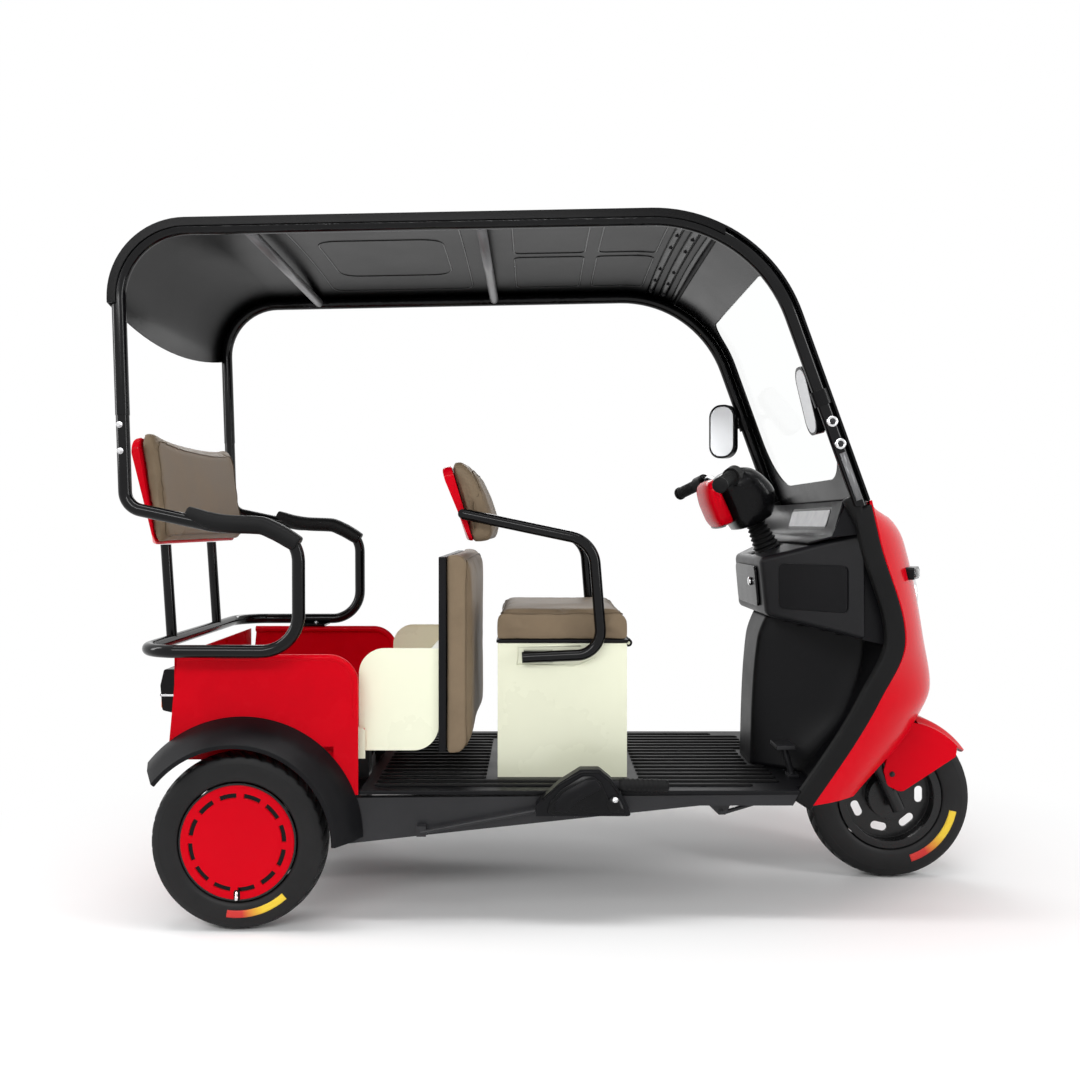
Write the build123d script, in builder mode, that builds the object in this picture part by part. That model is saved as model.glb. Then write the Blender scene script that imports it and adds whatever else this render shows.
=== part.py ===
# Electric passenger tricycle with a canopy, built as separate pieces in one shared frame.
# Millimetres; X forward, Y to the vehicle's left, Z up; the ground is Z = 0.
import os
from math import cos, radians, sin, sqrt

from build123d import *

os.makedirs("parts", exist_ok=True)

# Fits shared by all pieces
seat_gap = 0.3
run_fit = 0.05
sheet = 4.0

# Half width of the floor and the box, which the rest of the body follows
body_half = 345.0

# Wheels
rear_axle_x = -775.0
front_axle_x = 863.0
rear_r = 206.0
front_r = 216.0
rear_w = 76.0
front_w = 84.0
rear_y = body_half + 10.0
rim_r = 127.0
flange_r = 137.0
stub_r = 12.0
front_pin_r = 7.5

# Steering axis: leans back by the caster angle and passes just behind the front axle
caster = 24.5
fork_offset = 16.0
lean_cos = cos(radians(caster))
lean_sin = sin(radians(caster))
steer = Plane(
    origin=(front_axle_x - fork_offset * lean_cos, 0, front_r - fork_offset * lean_sin),
    x_dir=(lean_cos, 0, lean_sin),
    z_dir=(-lean_sin, 0, lean_cos),
)
steerer_r = 16.0
crown_bottom = 250.0
crown_top = 275.0
head_bottom = 330.0
head_top = 560.0
steerer_top = 880.0

# Floor and main frame
floor_top = 315.0
floor_t = 10.0
floor_half = body_half
floor_back = -500.0
floor_front = 543.0
tongue_front = 592.0
rail_half = body_half - 3.0
rail_t = 24.0

# Cargo box
box_half = body_half
box_rim_r = 9.0
box_rim_proud = 1.5
box_top = 636.0
box_front = -502.0
box_back = -944.0
box_floor_top = 384.0
well_half = body_half - 37.0
well_top = 484.0
arch_r = 262.0

# Rear seat, shown folded forward about its hinge at the front of the box floor
hinge_x = -503.0
hinge_z = 444.0
hinge_r = 5.0
base_half = body_half - 47.0
cushion_half = body_half - 35.0
base_back = -508.0
plate_back = -316.0
plate_front = -298.0
cushion_front = -247.0
base_bottom = 400.0
base_top = 645.0
cushion_bottom = 387.0
cushion_top = 876.0

# Driver's seat
seat_back = -177.0
seat_front = 145.0
seat_half = 215.0
seat_top = 648.0
tray_top = 657.0
driver_cushion_top = 723.0
lid_x = 156.0
lid_z = 640.0
lid_pin_r = 4.0

# Canopy
tube_r = 16.0
tube_y = body_half + 64.0
lap_z = 1195.0
lap_x = -1032.0
hoop_rear = (-1046.0, 1622.0)
hoop_front = (424.0, 1651.0)
hoop_foot = (664.0, 986.0)
hoop_rear_bend = 160.0
hoop_front_bend = 340.0
roof_half = tube_y + tube_r + 5.0
roof_t = 4.0
roof_lip = 20.0
roof_crown = 14.0
roof_front_x = 350.0
roof_rear_z = 1456.0
roof_valance_z = 1410.0
screen_bottom = 1000.0
screen_half = tube_y + tube_r
screen_t = 6.0
window_half = tube_y - 64.0

# Rear arm frame
arm_r = 15.0
arm_foot_z = 652.0
arm_back_x = -1000.0
back_post_y = 180.0

# Front shell: height, rim X, half width beyond the floor's, nose X
shell_shape = (
    (1000.0, 690.0, 67.0, 724.0),
    (955.0, 700.5, 66.0, 838.0),
    (900.0, 714.0, 62.0, 874.0),
    (674.0, 776.0, 49.0, 920.0),
    (532.0, 720.5, 32.0, 952.0),
    (453.0, 681.0, 20.0, 921.0),
    (280.0, 573.0, 1.0, 800.0),
)
shell_rows = tuple((z, rim_x, body_half + wider, nose_x) for z, rim_x, wider, nose_x in shell_shape)
shell_t = 6.0
trim_deep = 45.0
trim_wide = 28.0
arch_half = 262.0
arch_rise = 215.0
arch_z = 262.0

# Dash wedge
dash_nose_half = 160.0
dash_side_half = body_half + 29.0
dash_nose_x = 488.0
dash_front_x = 689.0


def side_view(y):
    """Plane at the given Y whose own x and y are the vehicle's X and Z."""
    return Plane.XZ.offset(-y)


def bar(points, bends, radius, mode=Mode.ADD):
    """Round bar along straight runs joined by bends, added to the piece being built."""
    with BuildLine() as route:
        if len(points) == 2:
            Line(*points)
        else:
            FilletPolyline(*points, radius=bends)
    with BuildSketch(Plane(route.line @ 0, z_dir=route.line % 0)) as ring:
        Circle(radius)
    sweep(sections=ring.sketch, path=route.line, mode=mode)


def block(x_range, y_range, z_range, mode=Mode.ADD):
    """Box between two values along each axis."""
    lows = (x_range[0], y_range[0], z_range[0])
    highs = (x_range[1], y_range[1], z_range[1])
    middle = tuple((low + high) / 2 for low, high in zip(lows, highs))
    with Locations(middle):
        Box(*(high - low for low, high in zip(lows, highs)), mode=mode)


def slab(points, bends, y_range, mode=Mode.ADD):
    """Side profile with rounded corners, as wide as y_range."""
    with BuildSketch(side_view(y_range[0])) as face:
        with BuildLine():
            FilletPolyline(*points, radius=bends, close=True)
        make_face()
    extrude(face.sketch, amount=y_range[1] - y_range[0], dir=(0, 1, 0), mode=mode)


def cross_pin(x, z, y_range, radius, mode=Mode.ADD):
    """Cylinder along Y."""
    bar([(x, y_range[0], z), (x, y_range[1], z)], [], radius, mode)


def save(builder, name):
    """Label one piece and write its file."""
    builder.part.label = name
    export_step(builder.part, f"parts/{name}.step")


def hoop_top_z(x):
    """Height of the hoop's top run at X."""
    slope = (hoop_front[1] - hoop_rear[1]) / (hoop_front[0] - hoop_rear[0])
    return hoop_rear[1] + slope * (x - hoop_rear[0])


def hoop_points(y):
    """Corners of the canopy hoop at Y."""
    corners = ((lap_x, lap_z), hoop_rear, hoop_front, hoop_foot)
    return [(x, y, z) for x, z in corners]


hoop_bends = [hoop_rear_bend, hoop_front_bend]

# Tyres: name, axle X, rolling radius, middle Y, width
tyres = (
    ("front_tyre", front_axle_x, front_r, 0.0, front_w),
    ("rear_tyre_left", rear_axle_x, rear_r, rear_y, rear_w),
    ("rear_tyre_right", rear_axle_x, rear_r, -rear_y, rear_w),
)
for name, x, radius, y, width in tyres:
    bead = width / 2 - 9
    shoulder = width * 0.4
    bulge_r = (flange_r + radius) / 2 - 6
    with BuildPart() as tyre:
        with BuildSketch(Plane(origin=(x, y, radius), x_dir=(0, 1, 0), z_dir=(1, 0, 0))):
            with BuildLine():
                Line((-bead, rim_r), (bead, rim_r))
                Line((bead, rim_r), (bead, flange_r + 1))
                ThreePointArc((bead, flange_r + 1), (width / 2, bulge_r), (shoulder, radius - 11))
                ThreePointArc((shoulder, radius - 11), (0, radius), (-shoulder, radius - 11))
                ThreePointArc((-shoulder, radius - 11), (-width / 2, bulge_r), (-bead, flange_r + 1))
                Line((-bead, flange_r + 1), (-bead, rim_r))
            make_face()
        revolve(axis=Axis((x, y, radius), (0, 1, 0)))
    save(tyre, name)

# Front rim: bands across the width and over the radius, then a ring of slots
front_bead = front_w / 2 - 9
front_rim_bands = (
    (-front_bead - 3, -front_bead - 0.2, 117.0, flange_r),
    (front_bead + 0.2, front_bead + 3, 117.0, flange_r),
    (-front_bead - 3, front_bead + 3, 117.0, rim_r - 0.2),
    (-4.0, 4.0, 30.0, 118.0),
    (-36.0, 24.0, front_pin_r + run_fit, 58.0),
)
with BuildPart() as front_rim:
    with BuildSketch(Plane(origin=(front_axle_x, 0, front_r), x_dir=(0, 1, 0), z_dir=(1, 0, 0))):
        for low, high, inner, outer in front_rim_bands:
            with Locations(((low + high) / 2, (inner + outer) / 2)):
                Rectangle(high - low, outer - inner)
    revolve(axis=Axis((front_axle_x, 0, front_r), (0, 1, 0)))
    with BuildSketch(Plane(origin=(front_axle_x, 0, front_r), x_dir=(1, 0, 0), z_dir=(0, -1, 0))):
        with PolarLocations(88, 7):
            SlotOverall(44, 22, rotation=90)
    extrude(amount=20, both=True, mode=Mode.SUBTRACT)
save(front_rim, "front_rim")

# Rear rims and covers; bands as for the front, with the outer side positive
rear_bead = rear_w / 2 - 9
rear_rim_bands = (
    (-rear_bead - 3, -rear_bead - 0.2, 117.0, flange_r),
    (rear_bead + 0.2, rear_bead + 3, 117.0, flange_r),
    (-rear_bead - 3, rear_bead + 3, 117.0, rim_r - 0.2),
    (10.0, 16.0, 28.0, 118.0),
    (-18.0, 22.0, stub_r + run_fit, 32.0),
)
cover_profile = (
    (26, 0),
    (30, 0),
    (31, 86),
    (36, 98),
    (38, 118),
    (36, 130),
    (32.5, 135),
    (32.5, 112),
    (26, 90),
)
cover_slots = 12
slot_step = 28.7
slot_start = -69.0
for side, hand in ((1, "left"), (-1, "right")):
    y = side * rear_y
    across = Plane(origin=(rear_axle_x, y, rear_r), x_dir=(0, side, 0), z_dir=(side, 0, 0))
    facing = Plane(origin=(rear_axle_x, y, rear_r), x_dir=(1, 0, 0), z_dir=(0, -1, 0))
    spin = Axis((rear_axle_x, y, rear_r), (0, 1, 0))
    with BuildPart() as rear_rim:
        with BuildSketch(across):
            for low, high, inner, outer in rear_rim_bands:
                with Locations(((low + high) / 2, (inner + outer) / 2)):
                    Rectangle(high - low, outer - inner)
        revolve(axis=spin)
    save(rear_rim, f"rear_rim_{hand}")
    with BuildPart() as wheel_cover:
        with BuildSketch(across):
            with BuildLine():
                Polyline(*cover_profile, close=True)
            make_face()
        revolve(axis=spin)
        with BuildSketch(facing):
            for slot in range(cover_slots):
                turn = slot_start + slot * slot_step
                with Locations((106 * cos(radians(turn)), 106 * sin(radians(turn)))):
                    SlotOverall(42, 11, rotation=turn + 90)
        extrude(amount=60, both=True, mode=Mode.SUBTRACT)
    save(wheel_cover, f"wheel_cover_{hand}")

# Rear axle with gear case and brake plates
motor_x = rear_axle_x + 145
motor_z = rear_r + 20
with BuildPart() as rear_axle:
    cross_pin(rear_axle_x, rear_r, (-300, 300), 28)
    cross_pin(rear_axle_x, rear_r, (-rear_y - 20, rear_y + 20), stub_r)
    cross_pin(rear_axle_x, rear_r, (-55, 55), 78)
    case = ((rear_axle_x, rear_r - 60), (motor_x, motor_z - 60), (motor_x, motor_z + 60), (rear_axle_x, rear_r + 60))
    slab(case, 0, (-40, -5))
    for side in (1, -1):
        cross_pin(rear_axle_x, rear_r, sorted((side * 300, side * 306)), 95)
save(rear_axle, "rear_axle")

with BuildPart() as drive_motor:
    cross_pin(motor_x, motor_z, (-5 + seat_gap, 165), 66)
    cross_pin(motor_x, motor_z, (165, 180), 40)
    cross_pin(rear_axle_x, rear_r, (-60, 60), 79, Mode.SUBTRACT)
save(drive_motor, "drive_motor")

# Trailing arms and spring struts of the rear axle
arm_pivot = (-521.0, 241.0)
arm_pivot_r = 12.0
arm_y = (222.0, 244.0)
trail_profile = (
    (-530, 262),
    (-505, 240),
    (-520, 222),
    (rear_axle_x, rear_r - 40),
    (rear_axle_x - 42, rear_r - 10),
    (rear_axle_x - 20, rear_r + 48),
)
strut_x = rear_axle_x + 10
with BuildPart() as rear_suspension:
    slab(trail_profile, 12, arm_y)
    cross_pin(*arm_pivot, arm_y, arm_pivot_r + 0.2, Mode.SUBTRACT)
    cross_pin(rear_axle_x, rear_r, arm_y, 28.2, Mode.SUBTRACT)
    strut_y = (arm_y[0] + arm_y[1]) / 2
    strut_top = box_floor_top - sheet - seat_gap
    bar([(strut_x, strut_y, rear_r + 36), (strut_x, strut_y, strut_top)], [], 14)
    bar([(strut_x, strut_y, rear_r + 60), (strut_x, strut_y, strut_top - 12)], [], 26)
    mirror(about=Plane.XZ)
save(rear_suspension, "rear_suspension")

# Main frame: tapered side rails, cross members, box beams, head tube and its down tube
rail_top = floor_top - floor_t
sill_front = floor_front - 17.0
rail_profile = (
    (-548, rail_top - 8),
    (floor_front, rail_top),
    (sill_front, 279),
    (306, 279),
    (-72, 239),
    (-356, 208),
    (-545, 187),
    (-548, 200),
)
# Cross members: rear X, front X, low Z, high Z
cross_members = (
    (-540, -504, 268, rail_top - 8),
    (-60, -20, 262, rail_top),
    (300, 336, 281, rail_top),
    (486, 522, 280, rail_top),
)
beam_y = (120.0, 160.0)
with BuildPart() as main_frame:
    slab(rail_profile, 0, (rail_half - rail_t, rail_half))
    block((-934, -506), beam_y, (344, box_floor_top - sheet))
    block((-536, -506), beam_y, (rail_top - 20, 360))
    mirror(about=Plane.XZ)
    for rear, front, low, high in cross_members:
        block((rear, front), (-rail_half + 4, rail_half - 4), (low, high))
    cross_pin(*arm_pivot, (-rail_half + 4, rail_half - 4), arm_pivot_r)
    head_foot = steer.from_local_coords((0, 0, head_bottom))
    head_end = steer.from_local_coords((0, 0, head_top))
    brace = steer.from_local_coords((0, 0, head_bottom + 90))
    bar([(520, 0, 292), (brace.X, 0, brace.Z)], [], 20)
    bar([head_foot, head_end], [], 27)
    bar([head_foot, head_end], [], steerer_r + run_fit, Mode.SUBTRACT)
save(main_frame, "main_frame")

with BuildPart() as floor_board:
    block((floor_back, floor_front), (-floor_half, floor_half), (rail_top, floor_top))
    block((floor_front - 33, tongue_front), (-300, 300), (rail_top, floor_top))
    block((496, 700), (-86, 86), (rail_top - 5, floor_top + 5), Mode.SUBTRACT)
save(floor_board, "floor_board")

# Cargo box: folded floor with wheel wells, two sides with a rolled rim, back panel
well_in = well_half - sheet
floor_fold = (
    (-box_half + sheet, well_top),
    (-well_half, well_top),
    (-well_half, box_floor_top - sheet),
    (well_half, box_floor_top - sheet),
    (well_half, well_top),
    (box_half - sheet, well_top),
)
floor_fold_top = (
    (box_half - sheet, well_top + sheet),
    (well_in, well_top + sheet),
    (well_in, box_floor_top),
    (-well_in, box_floor_top),
    (-well_in, well_top + sheet),
    (-box_half + sheet, well_top + sheet),
)
with BuildPart() as box_floor:
    with BuildSketch(Plane.YZ.offset(box_back + sheet)):
        with BuildLine():
            Polyline(*floor_fold, *floor_fold_top, close=True)
        make_face()
    extrude(amount=box_front - 8 - box_back - sheet)
    for side in (1, -1):
        ends = sorted((side * (base_half - 7), side * well_in))
        rest_x = hinge_x - (base_top - hinge_z) + 6
        block((rest_x, rest_x + 40), ends, (box_floor_top, hinge_z + base_back - hinge_x - seat_gap))
        tab = sorted((side * (base_half + seat_gap), side * well_in))
        block((hinge_x - 30, hinge_x + 9), tab, (box_floor_top, hinge_z + 9))
        cross_pin(hinge_x, hinge_z, sorted((side * (base_half - 9), side * well_in)), hinge_r)
save(box_floor, "box_floor")

side_profile = (
    (-930, box_top - box_rim_r),
    (box_front, box_top - box_rim_r),
    (box_front, rail_top + seat_gap),
    (-560, rail_top + seat_gap),
    (-560, 420),
    (-951, 400),
)
rim_y = box_half - box_rim_r + box_rim_proud
rim_path = (
    (-930, box_top - box_rim_r),
    (box_front - box_rim_r, box_top - box_rim_r),
    (box_front - box_rim_r, well_top + sheet + 1),
)
for side, hand in ((1, "left"), (-1, "right")):
    wall = sorted((side * (box_half - sheet), side * box_half))
    with BuildPart() as box_side:
        slab(side_profile, [0, 70, 0, 0, 0, 0], wall)
        bar([(x, side * rim_y, z) for x, z in rim_path], [62], box_rim_r)
        cross_pin(rear_axle_x, rear_r, sorted((side * 300, side * 400)), arch_r, Mode.SUBTRACT)
    save(box_side, f"box_side_{hand}")

plate_y = 60.0
plate_z = 470.0
with BuildPart() as box_panel:
    inner = box_half - sheet - 2 * box_rim_r
    block((box_back, box_back + sheet - seat_gap), (-inner, inner), (box_floor_top - sheet, box_top - 6))
    for y in (-plate_y, plate_y):
        with Locations(Plane(origin=(box_back, y, plate_z), z_dir=(1, 0, 0))):
            Cylinder(3.4, 40, mode=Mode.SUBTRACT)
save(box_panel, "box_panel")

# Rear fenders: a cone-shaped band turned about the axle
fender_out = box_half + 85.0
fender_profile = (
    (box_half, 281),
    (box_half, 285),
    (box_half + 40, 268),
    (fender_out, 236),
    (fender_out, 226),
    (fender_out - sheet, 226),
    (fender_out - sheet, 233),
    (box_half + 38, 263),
)
fender_start = 18.0
fender_sweep = 142.0
with BuildPart() as rear_fenders:
    turned = Plane(origin=(rear_axle_x, 0, rear_r), x_dir=(0, 1, 0), z_dir=(0, 0, 1))
    with BuildSketch(turned) as fender_face:
        with BuildLine():
            Polyline(*[(y, -r) for y, r in fender_profile], close=True)
        make_face()
    revolve(fender_face.sketch, axis=Axis((rear_axle_x, 0, rear_r), (0, -1, 0)), revolution_arc=fender_sweep)
    mirror(about=Plane.XZ)
save(rear_fenders, "rear_fenders")

with BuildPart() as tail_lamps:
    lamp = ((box_back - seat_gap, 493), (-974, 500), (-979, 560), (-970, 598), (box_back - seat_gap, 598))
    slab(lamp, [0, 6, 10, 6, 0], (box_half - 95, box_half - 27))
    mirror(about=Plane.XZ)
save(tail_lamps, "tail_lamps")

# Rear arm frame: one bent tube from stub to stub round the back, with posts and feet
arm_corner_z = 984.0
stub_lean = (hoop_rear[0] - lap_x) / (hoop_rear[1] - lap_z)
arm_corner_x = lap_x + stub_lean * (arm_corner_z - lap_z)
arm_top = (
    (lap_x, lap_z - seat_gap),
    (arm_corner_x, arm_corner_z),
    (-818.0, 940.0),
    (-628.0, 937.0),
    (-627.0, arm_foot_z),
    (arm_back_x, arm_foot_z),
)
arm_bends = [45, 120, 80, 85, 90]
right_run = [(x, -tube_y, z) for x, z in arm_top]
left_run = [(x, tube_y, z) for x, z in reversed(arm_top)]
back_bottom = 894.0
back_post_top = (-1016.0, back_bottom - seat_gap)
with BuildPart() as arm_frame:
    bar(right_run + left_run, arm_bends + arm_bends[::-1], arm_r)
    for side in (1, -1):
        y = side * back_post_y
        bar([(arm_back_x, y, arm_foot_z), (back_post_top[0], y, back_post_top[1])], [], 13)
        block((-820, -720), sorted((side * (box_half - 20), side * tube_y)), (box_top, box_top + 5))
    block((-1100, -900), (-300, 300), (back_post_top[1], back_post_top[1] + 60), Mode.SUBTRACT)
save(arm_frame, "arm_frame")

pad_rear_x = -877.0
arm_slope = (arm_top[2][1] - arm_top[1][1]) / (arm_top[2][0] - arm_top[1][0])
pad_rear_z = arm_top[1][1] + arm_slope * (pad_rear_x - arm_top[1][0])
with BuildPart() as arm_pads:
    pad_line = ((pad_rear_x, pad_rear_z), arm_top[2], arm_top[3], (-627.7, 852))
    pad_path = [(x, tube_y, z) for x, z in pad_line]
    bar(pad_path, arm_bends[1:3], 22)
    bar(pad_path, arm_bends[1:3], arm_r + seat_gap, Mode.SUBTRACT)
    block((-700, -560), (tube_y - 40, tube_y + 40), (800, 886), Mode.SUBTRACT)
    mirror(about=Plane.XZ)
save(arm_pads, "arm_pads")

# Backrests: name, half width, shell profile, pad profile
backrests = (
    (
        "rear_back",
        330.0,
        ((-1051, 1160), (-1027, 1166), (-1004, back_bottom), (-1040, back_bottom)),
        ((-1026.6, 1162), (-1000, 1165), (-972, 912), (-1003.6, back_bottom + 2)),
    ),
    (
        "driver_back",
        205.0,
        ((-319, 1092), (-296, 1098), (-226, 908), (-254, 908)),
        ((-295.6, 1097), (-257, 1092), (-187, 920), (-225.6, 909)),
    ),
)
for name, half, shell_profile, pad_profile in backrests:
    with BuildPart() as back_shell:
        slab(shell_profile, [14, 6, 6, 14], (-half, half))
    save(back_shell, f"{name}_shell")
    with BuildPart() as back_pad:
        slab(pad_profile, [3, 18, 18, 3], (-half + 4, half - 4))
    save(back_pad, f"{name}_pad")

# Rear seat: hollow cream base, black plate, cushion
base_profile = (
    (base_back, base_bottom),
    (plate_back, base_bottom),
    (plate_back, base_top),
    (base_back, base_top),
)
base_inner = (
    (base_back - 80, base_bottom + sheet),
    (plate_back - sheet, base_bottom + sheet),
    (plate_back - sheet, base_top - sheet),
    (base_back - 80, base_top - sheet),
)
with BuildPart() as rear_seat_base:
    slab(base_profile, [0, 60, 0, 60], (-base_half, base_half))
    slab(base_inner, [0, 56, 0, 0], (-base_half + sheet, base_half - sheet), Mode.SUBTRACT)
    for side in (1, -1):
        lug = sorted((side * (base_half - 10), side * base_half))
        cross_pin(hinge_x, hinge_z, lug, 13)
        cross_pin(hinge_x, hinge_z, lug, hinge_r + run_fit, Mode.SUBTRACT)
save(rear_seat_base, "rear_seat_base")

with BuildPart() as rear_seat_plate:
    block((plate_back + seat_gap, plate_front), (-cushion_half + 4, cushion_half - 4), (cushion_bottom + 12, cushion_top - 10))
save(rear_seat_plate, "rear_seat_plate")

with BuildPart() as rear_cushion:
    cushion = (
        (plate_front + seat_gap, cushion_bottom),
        (cushion_front, cushion_bottom),
        (cushion_front, cushion_top),
        (plate_front + seat_gap, cushion_top),
    )
    slab(cushion, [8, 34, 30, 8], (-cushion_half, cushion_half))
save(rear_cushion, "rear_cushion")

# Driver's seat: hollow box with hinge lugs, battery inside, lid tray and cushion
with BuildPart() as driver_seat_box:
    block((seat_back, seat_front), (-seat_half, seat_half), (floor_top, seat_top))
    inner = (seat_back + sheet, seat_front - sheet)
    block(inner, (-seat_half + sheet, seat_half - sheet), (floor_top - 5, seat_top + 5), Mode.SUBTRACT)
    for y in (-120, 120):
        slab(((seat_front, lid_z - 16), (lid_x, lid_z - 9), (lid_x, lid_z + 5), (seat_front, lid_z + 5)), 0, (y - 5, y + 5))
        cross_pin(lid_x, lid_z, (y - 5, y + 5), 9)
        cross_pin(lid_x, lid_z, (y - 20, y + 20), lid_pin_r)
save(driver_seat_box, "driver_seat_box")

with BuildPart() as battery_pack:
    block((-140, 100), (-190, 190), (floor_top, floor_top + 230))
save(battery_pack, "battery_pack")

tray_bottom = seat_top + 2
with BuildPart() as driver_seat_tray:
    block((seat_back - 3, seat_front + 3), (-seat_half - 3, seat_half + 3), (tray_bottom, tray_top))
    for y in (-120, 120):
        for ear in ((y - 16, y - 6), (y + 6, y + 16)):
            slab(((seat_front, tray_bottom), (lid_x, tray_bottom - 3), (lid_x, tray_bottom + 3), (seat_front, tray_top)), 0, ear)
            cross_pin(lid_x, lid_z, ear, 10)
            cross_pin(lid_x, lid_z, ear, lid_pin_r + run_fit, Mode.SUBTRACT)
save(driver_seat_tray, "driver_seat_tray")

with BuildPart() as driver_cushion:
    cushion = (
        (seat_back, tray_top + seat_gap),
        (seat_front, tray_top + seat_gap),
        (seat_front, driver_cushion_top),
        (seat_back, driver_cushion_top),
    )
    slab(cushion, [8, 8, 28, 22], (-seat_half - 1, seat_half + 1))
save(driver_cushion, "driver_cushion")

# Driver's arm frame: a bent tube each side, clamped to the seat box and bossed to the backrest
driver_arm_y = 240.0
driver_arm = ((-262.0, 970.0), (60.0, 902.0), (82.0, 624.0), (-116.0, 616.0))
with BuildPart() as driver_arms:
    bar([(x, driver_arm_y, z) for x, z in driver_arm], [75, 60], 14)
    block((-112, -40), (seat_half + seat_gap, driver_arm_y), (604, 632))
    cross_pin(driver_arm[0][0], driver_arm[0][1], (backrests[1][1] + seat_gap, driver_arm_y), 12)
    mirror(about=Plane.XZ)
save(driver_arms, "driver_arms")

# Canopy: two hoops tied by bows, the roof, and the screen in its frame
bow_x = (-751.0, -210.0)
with BuildPart() as canopy_frame:
    for y in (-tube_y, tube_y):
        bar(hoop_points(y), hoop_bends, tube_r)
    for x in bow_x:
        cross_pin(x, hoop_top_z(x), (-tube_y, tube_y), 12)
    block((600, 700), (-460, 460), (900, hoop_foot[1]), Mode.SUBTRACT)
save(canopy_frame, "canopy_frame")

roof_seat = tube_r + seat_gap
lip_in = tube_y + tube_r + seat_gap
roof_line = hoop_points(0)
with BuildLine() as roof_route:
    FilletPolyline(*roof_line, radius=hoop_bends)
roof_start = Plane(roof_route.line @ 0, x_dir=(0, 1, 0), z_dir=roof_route.line % 0)
with BuildPart() as roof_panel:
    with BuildSketch(roof_start) as roof_face:
        with BuildLine():
            Polyline((-lip_in, roof_seat), (-lip_in, 0), (-roof_half, 0), (-roof_half, roof_lip))
            ThreePointArc((-roof_half, roof_lip), (0, roof_lip + roof_crown), (roof_half, roof_lip))
            Polyline((roof_half, roof_lip), (roof_half, 0), (lip_in, 0), (lip_in, roof_seat))
            ThreePointArc((lip_in, roof_seat), (0, roof_lip + roof_crown - roof_t), (-lip_in, roof_seat))
        make_face()
    sweep(roof_face.sketch, path=roof_route.line)
    block((roof_front_x, 900), (-500, 500), (900, 1800), Mode.SUBTRACT)
    with BuildSketch(Plane.YZ.offset(-1200)) as below:
        with BuildLine():
            ThreePointArc((-460, roof_rear_z), (0, roof_valance_z), (460, roof_rear_z))
            Polyline((460, roof_rear_z), (460, 1000), (-460, 1000), (-460, roof_rear_z))
        make_face()
    extrude(below.sketch, amount=400, mode=Mode.SUBTRACT)
save(roof_panel, "roof_panel")

# The screen follows the hoop's front bend; its window is cut square to the front posts
post_lean = (hoop_foot[0] - hoop_front[0]) / (hoop_front[1] - hoop_foot[1])
post_up = Vector(-post_lean, 0, 1).normalized()
window_low = 1050.0
window_high = 1545.0
window_mid_z = (window_low + window_high) / 2
window_mid_x = hoop_foot[0] - post_lean * (window_mid_z - hoop_foot[1])
window_plane = Plane(
    origin=(window_mid_x, 0, window_mid_z),
    x_dir=(0, 1, 0),
    z_dir=Vector(0, 1, 0).cross(post_up),
)
window_tall = (window_high - window_low) * sqrt(1 + post_lean**2)
window_bends = [150.0, 150.0, 60.0, 60.0]


def window_corners(inset):
    """Corners of the window opening, lower pair first, drawn in by inset."""
    half = window_half - inset
    tall = window_tall / 2 - inset
    return [(-half, -tall), (half, -tall), (half, tall), (-half, tall)]


with BuildPart() as screen_frame:
    with BuildSketch(roof_start) as screen_face:
        with Locations((0, roof_seat + screen_t / 2)):
            Rectangle(2 * screen_half, screen_t)
    sweep(screen_face.sketch, path=roof_route.line)
    block((-1200, roof_front_x + 1), (-500, 500), (900, 1800), Mode.SUBTRACT)
    block((300, 900), (-500, 500), (900, screen_bottom), Mode.SUBTRACT)
    with BuildSketch(window_plane) as window:
        with BuildLine():
            FilletPolyline(*window_corners(0), radius=window_bends, close=True)
        make_face()
    extrude(window.sketch, amount=200, both=True, mode=Mode.SUBTRACT)
save(screen_frame, "screen_frame")

with BuildPart() as screen_glass:
    with BuildSketch(roof_start) as glass_face:
        with Locations((0, roof_seat + screen_t / 2)):
            Rectangle(2 * screen_half, screen_t - 2)
    sweep(glass_face.sketch, path=roof_route.line)
    with BuildSketch(window_plane) as pane:
        with BuildLine():
            FilletPolyline(*window_corners(seat_gap), radius=[r - seat_gap for r in window_bends], close=True)
        make_face()
    extrude(pane.sketch, amount=200, both=True, mode=Mode.INTERSECT)
save(screen_glass, "screen_glass")

# Front shell, edge trim, lamp and signals
lamp_x = 884.0
lamp_z = 752.0
lamp_r = 70.0
with BuildPart() as front_shell:
    for z, rim_x, half, nose_x in shell_rows:
        with BuildSketch(Plane.XY.offset(z)):
            with BuildLine():
                ThreePointArc((rim_x, -half), (nose_x, 0), (rim_x, half))
                Line((rim_x, half), (rim_x, half - shell_t))
                ThreePointArc((rim_x, half - shell_t), (nose_x - shell_t, 0), (rim_x, shell_t - half))
                Line((rim_x, shell_t - half), (rim_x, -half))
            make_face()
    loft(ruled=True)
    with BuildSketch(Plane.YZ.offset(500)) as arch:
        with Locations((0, arch_z)):
            Ellipse(arch_half, arch_rise)
    extrude(arch.sketch, amount=600, mode=Mode.SUBTRACT)
    with Locations(Plane(origin=(lamp_x + 10, 0, lamp_z), z_dir=(1, 0, 0))):
        Cylinder(lamp_r + seat_gap, 120, mode=Mode.SUBTRACT)
save(front_shell, "front_shell")

with BuildPart() as headlamp:
    with Locations(Plane(origin=(lamp_x, 0, lamp_z), z_dir=(1, 0, 0))):
        Cylinder(lamp_r, 60)
save(headlamp, "headlamp")

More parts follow.
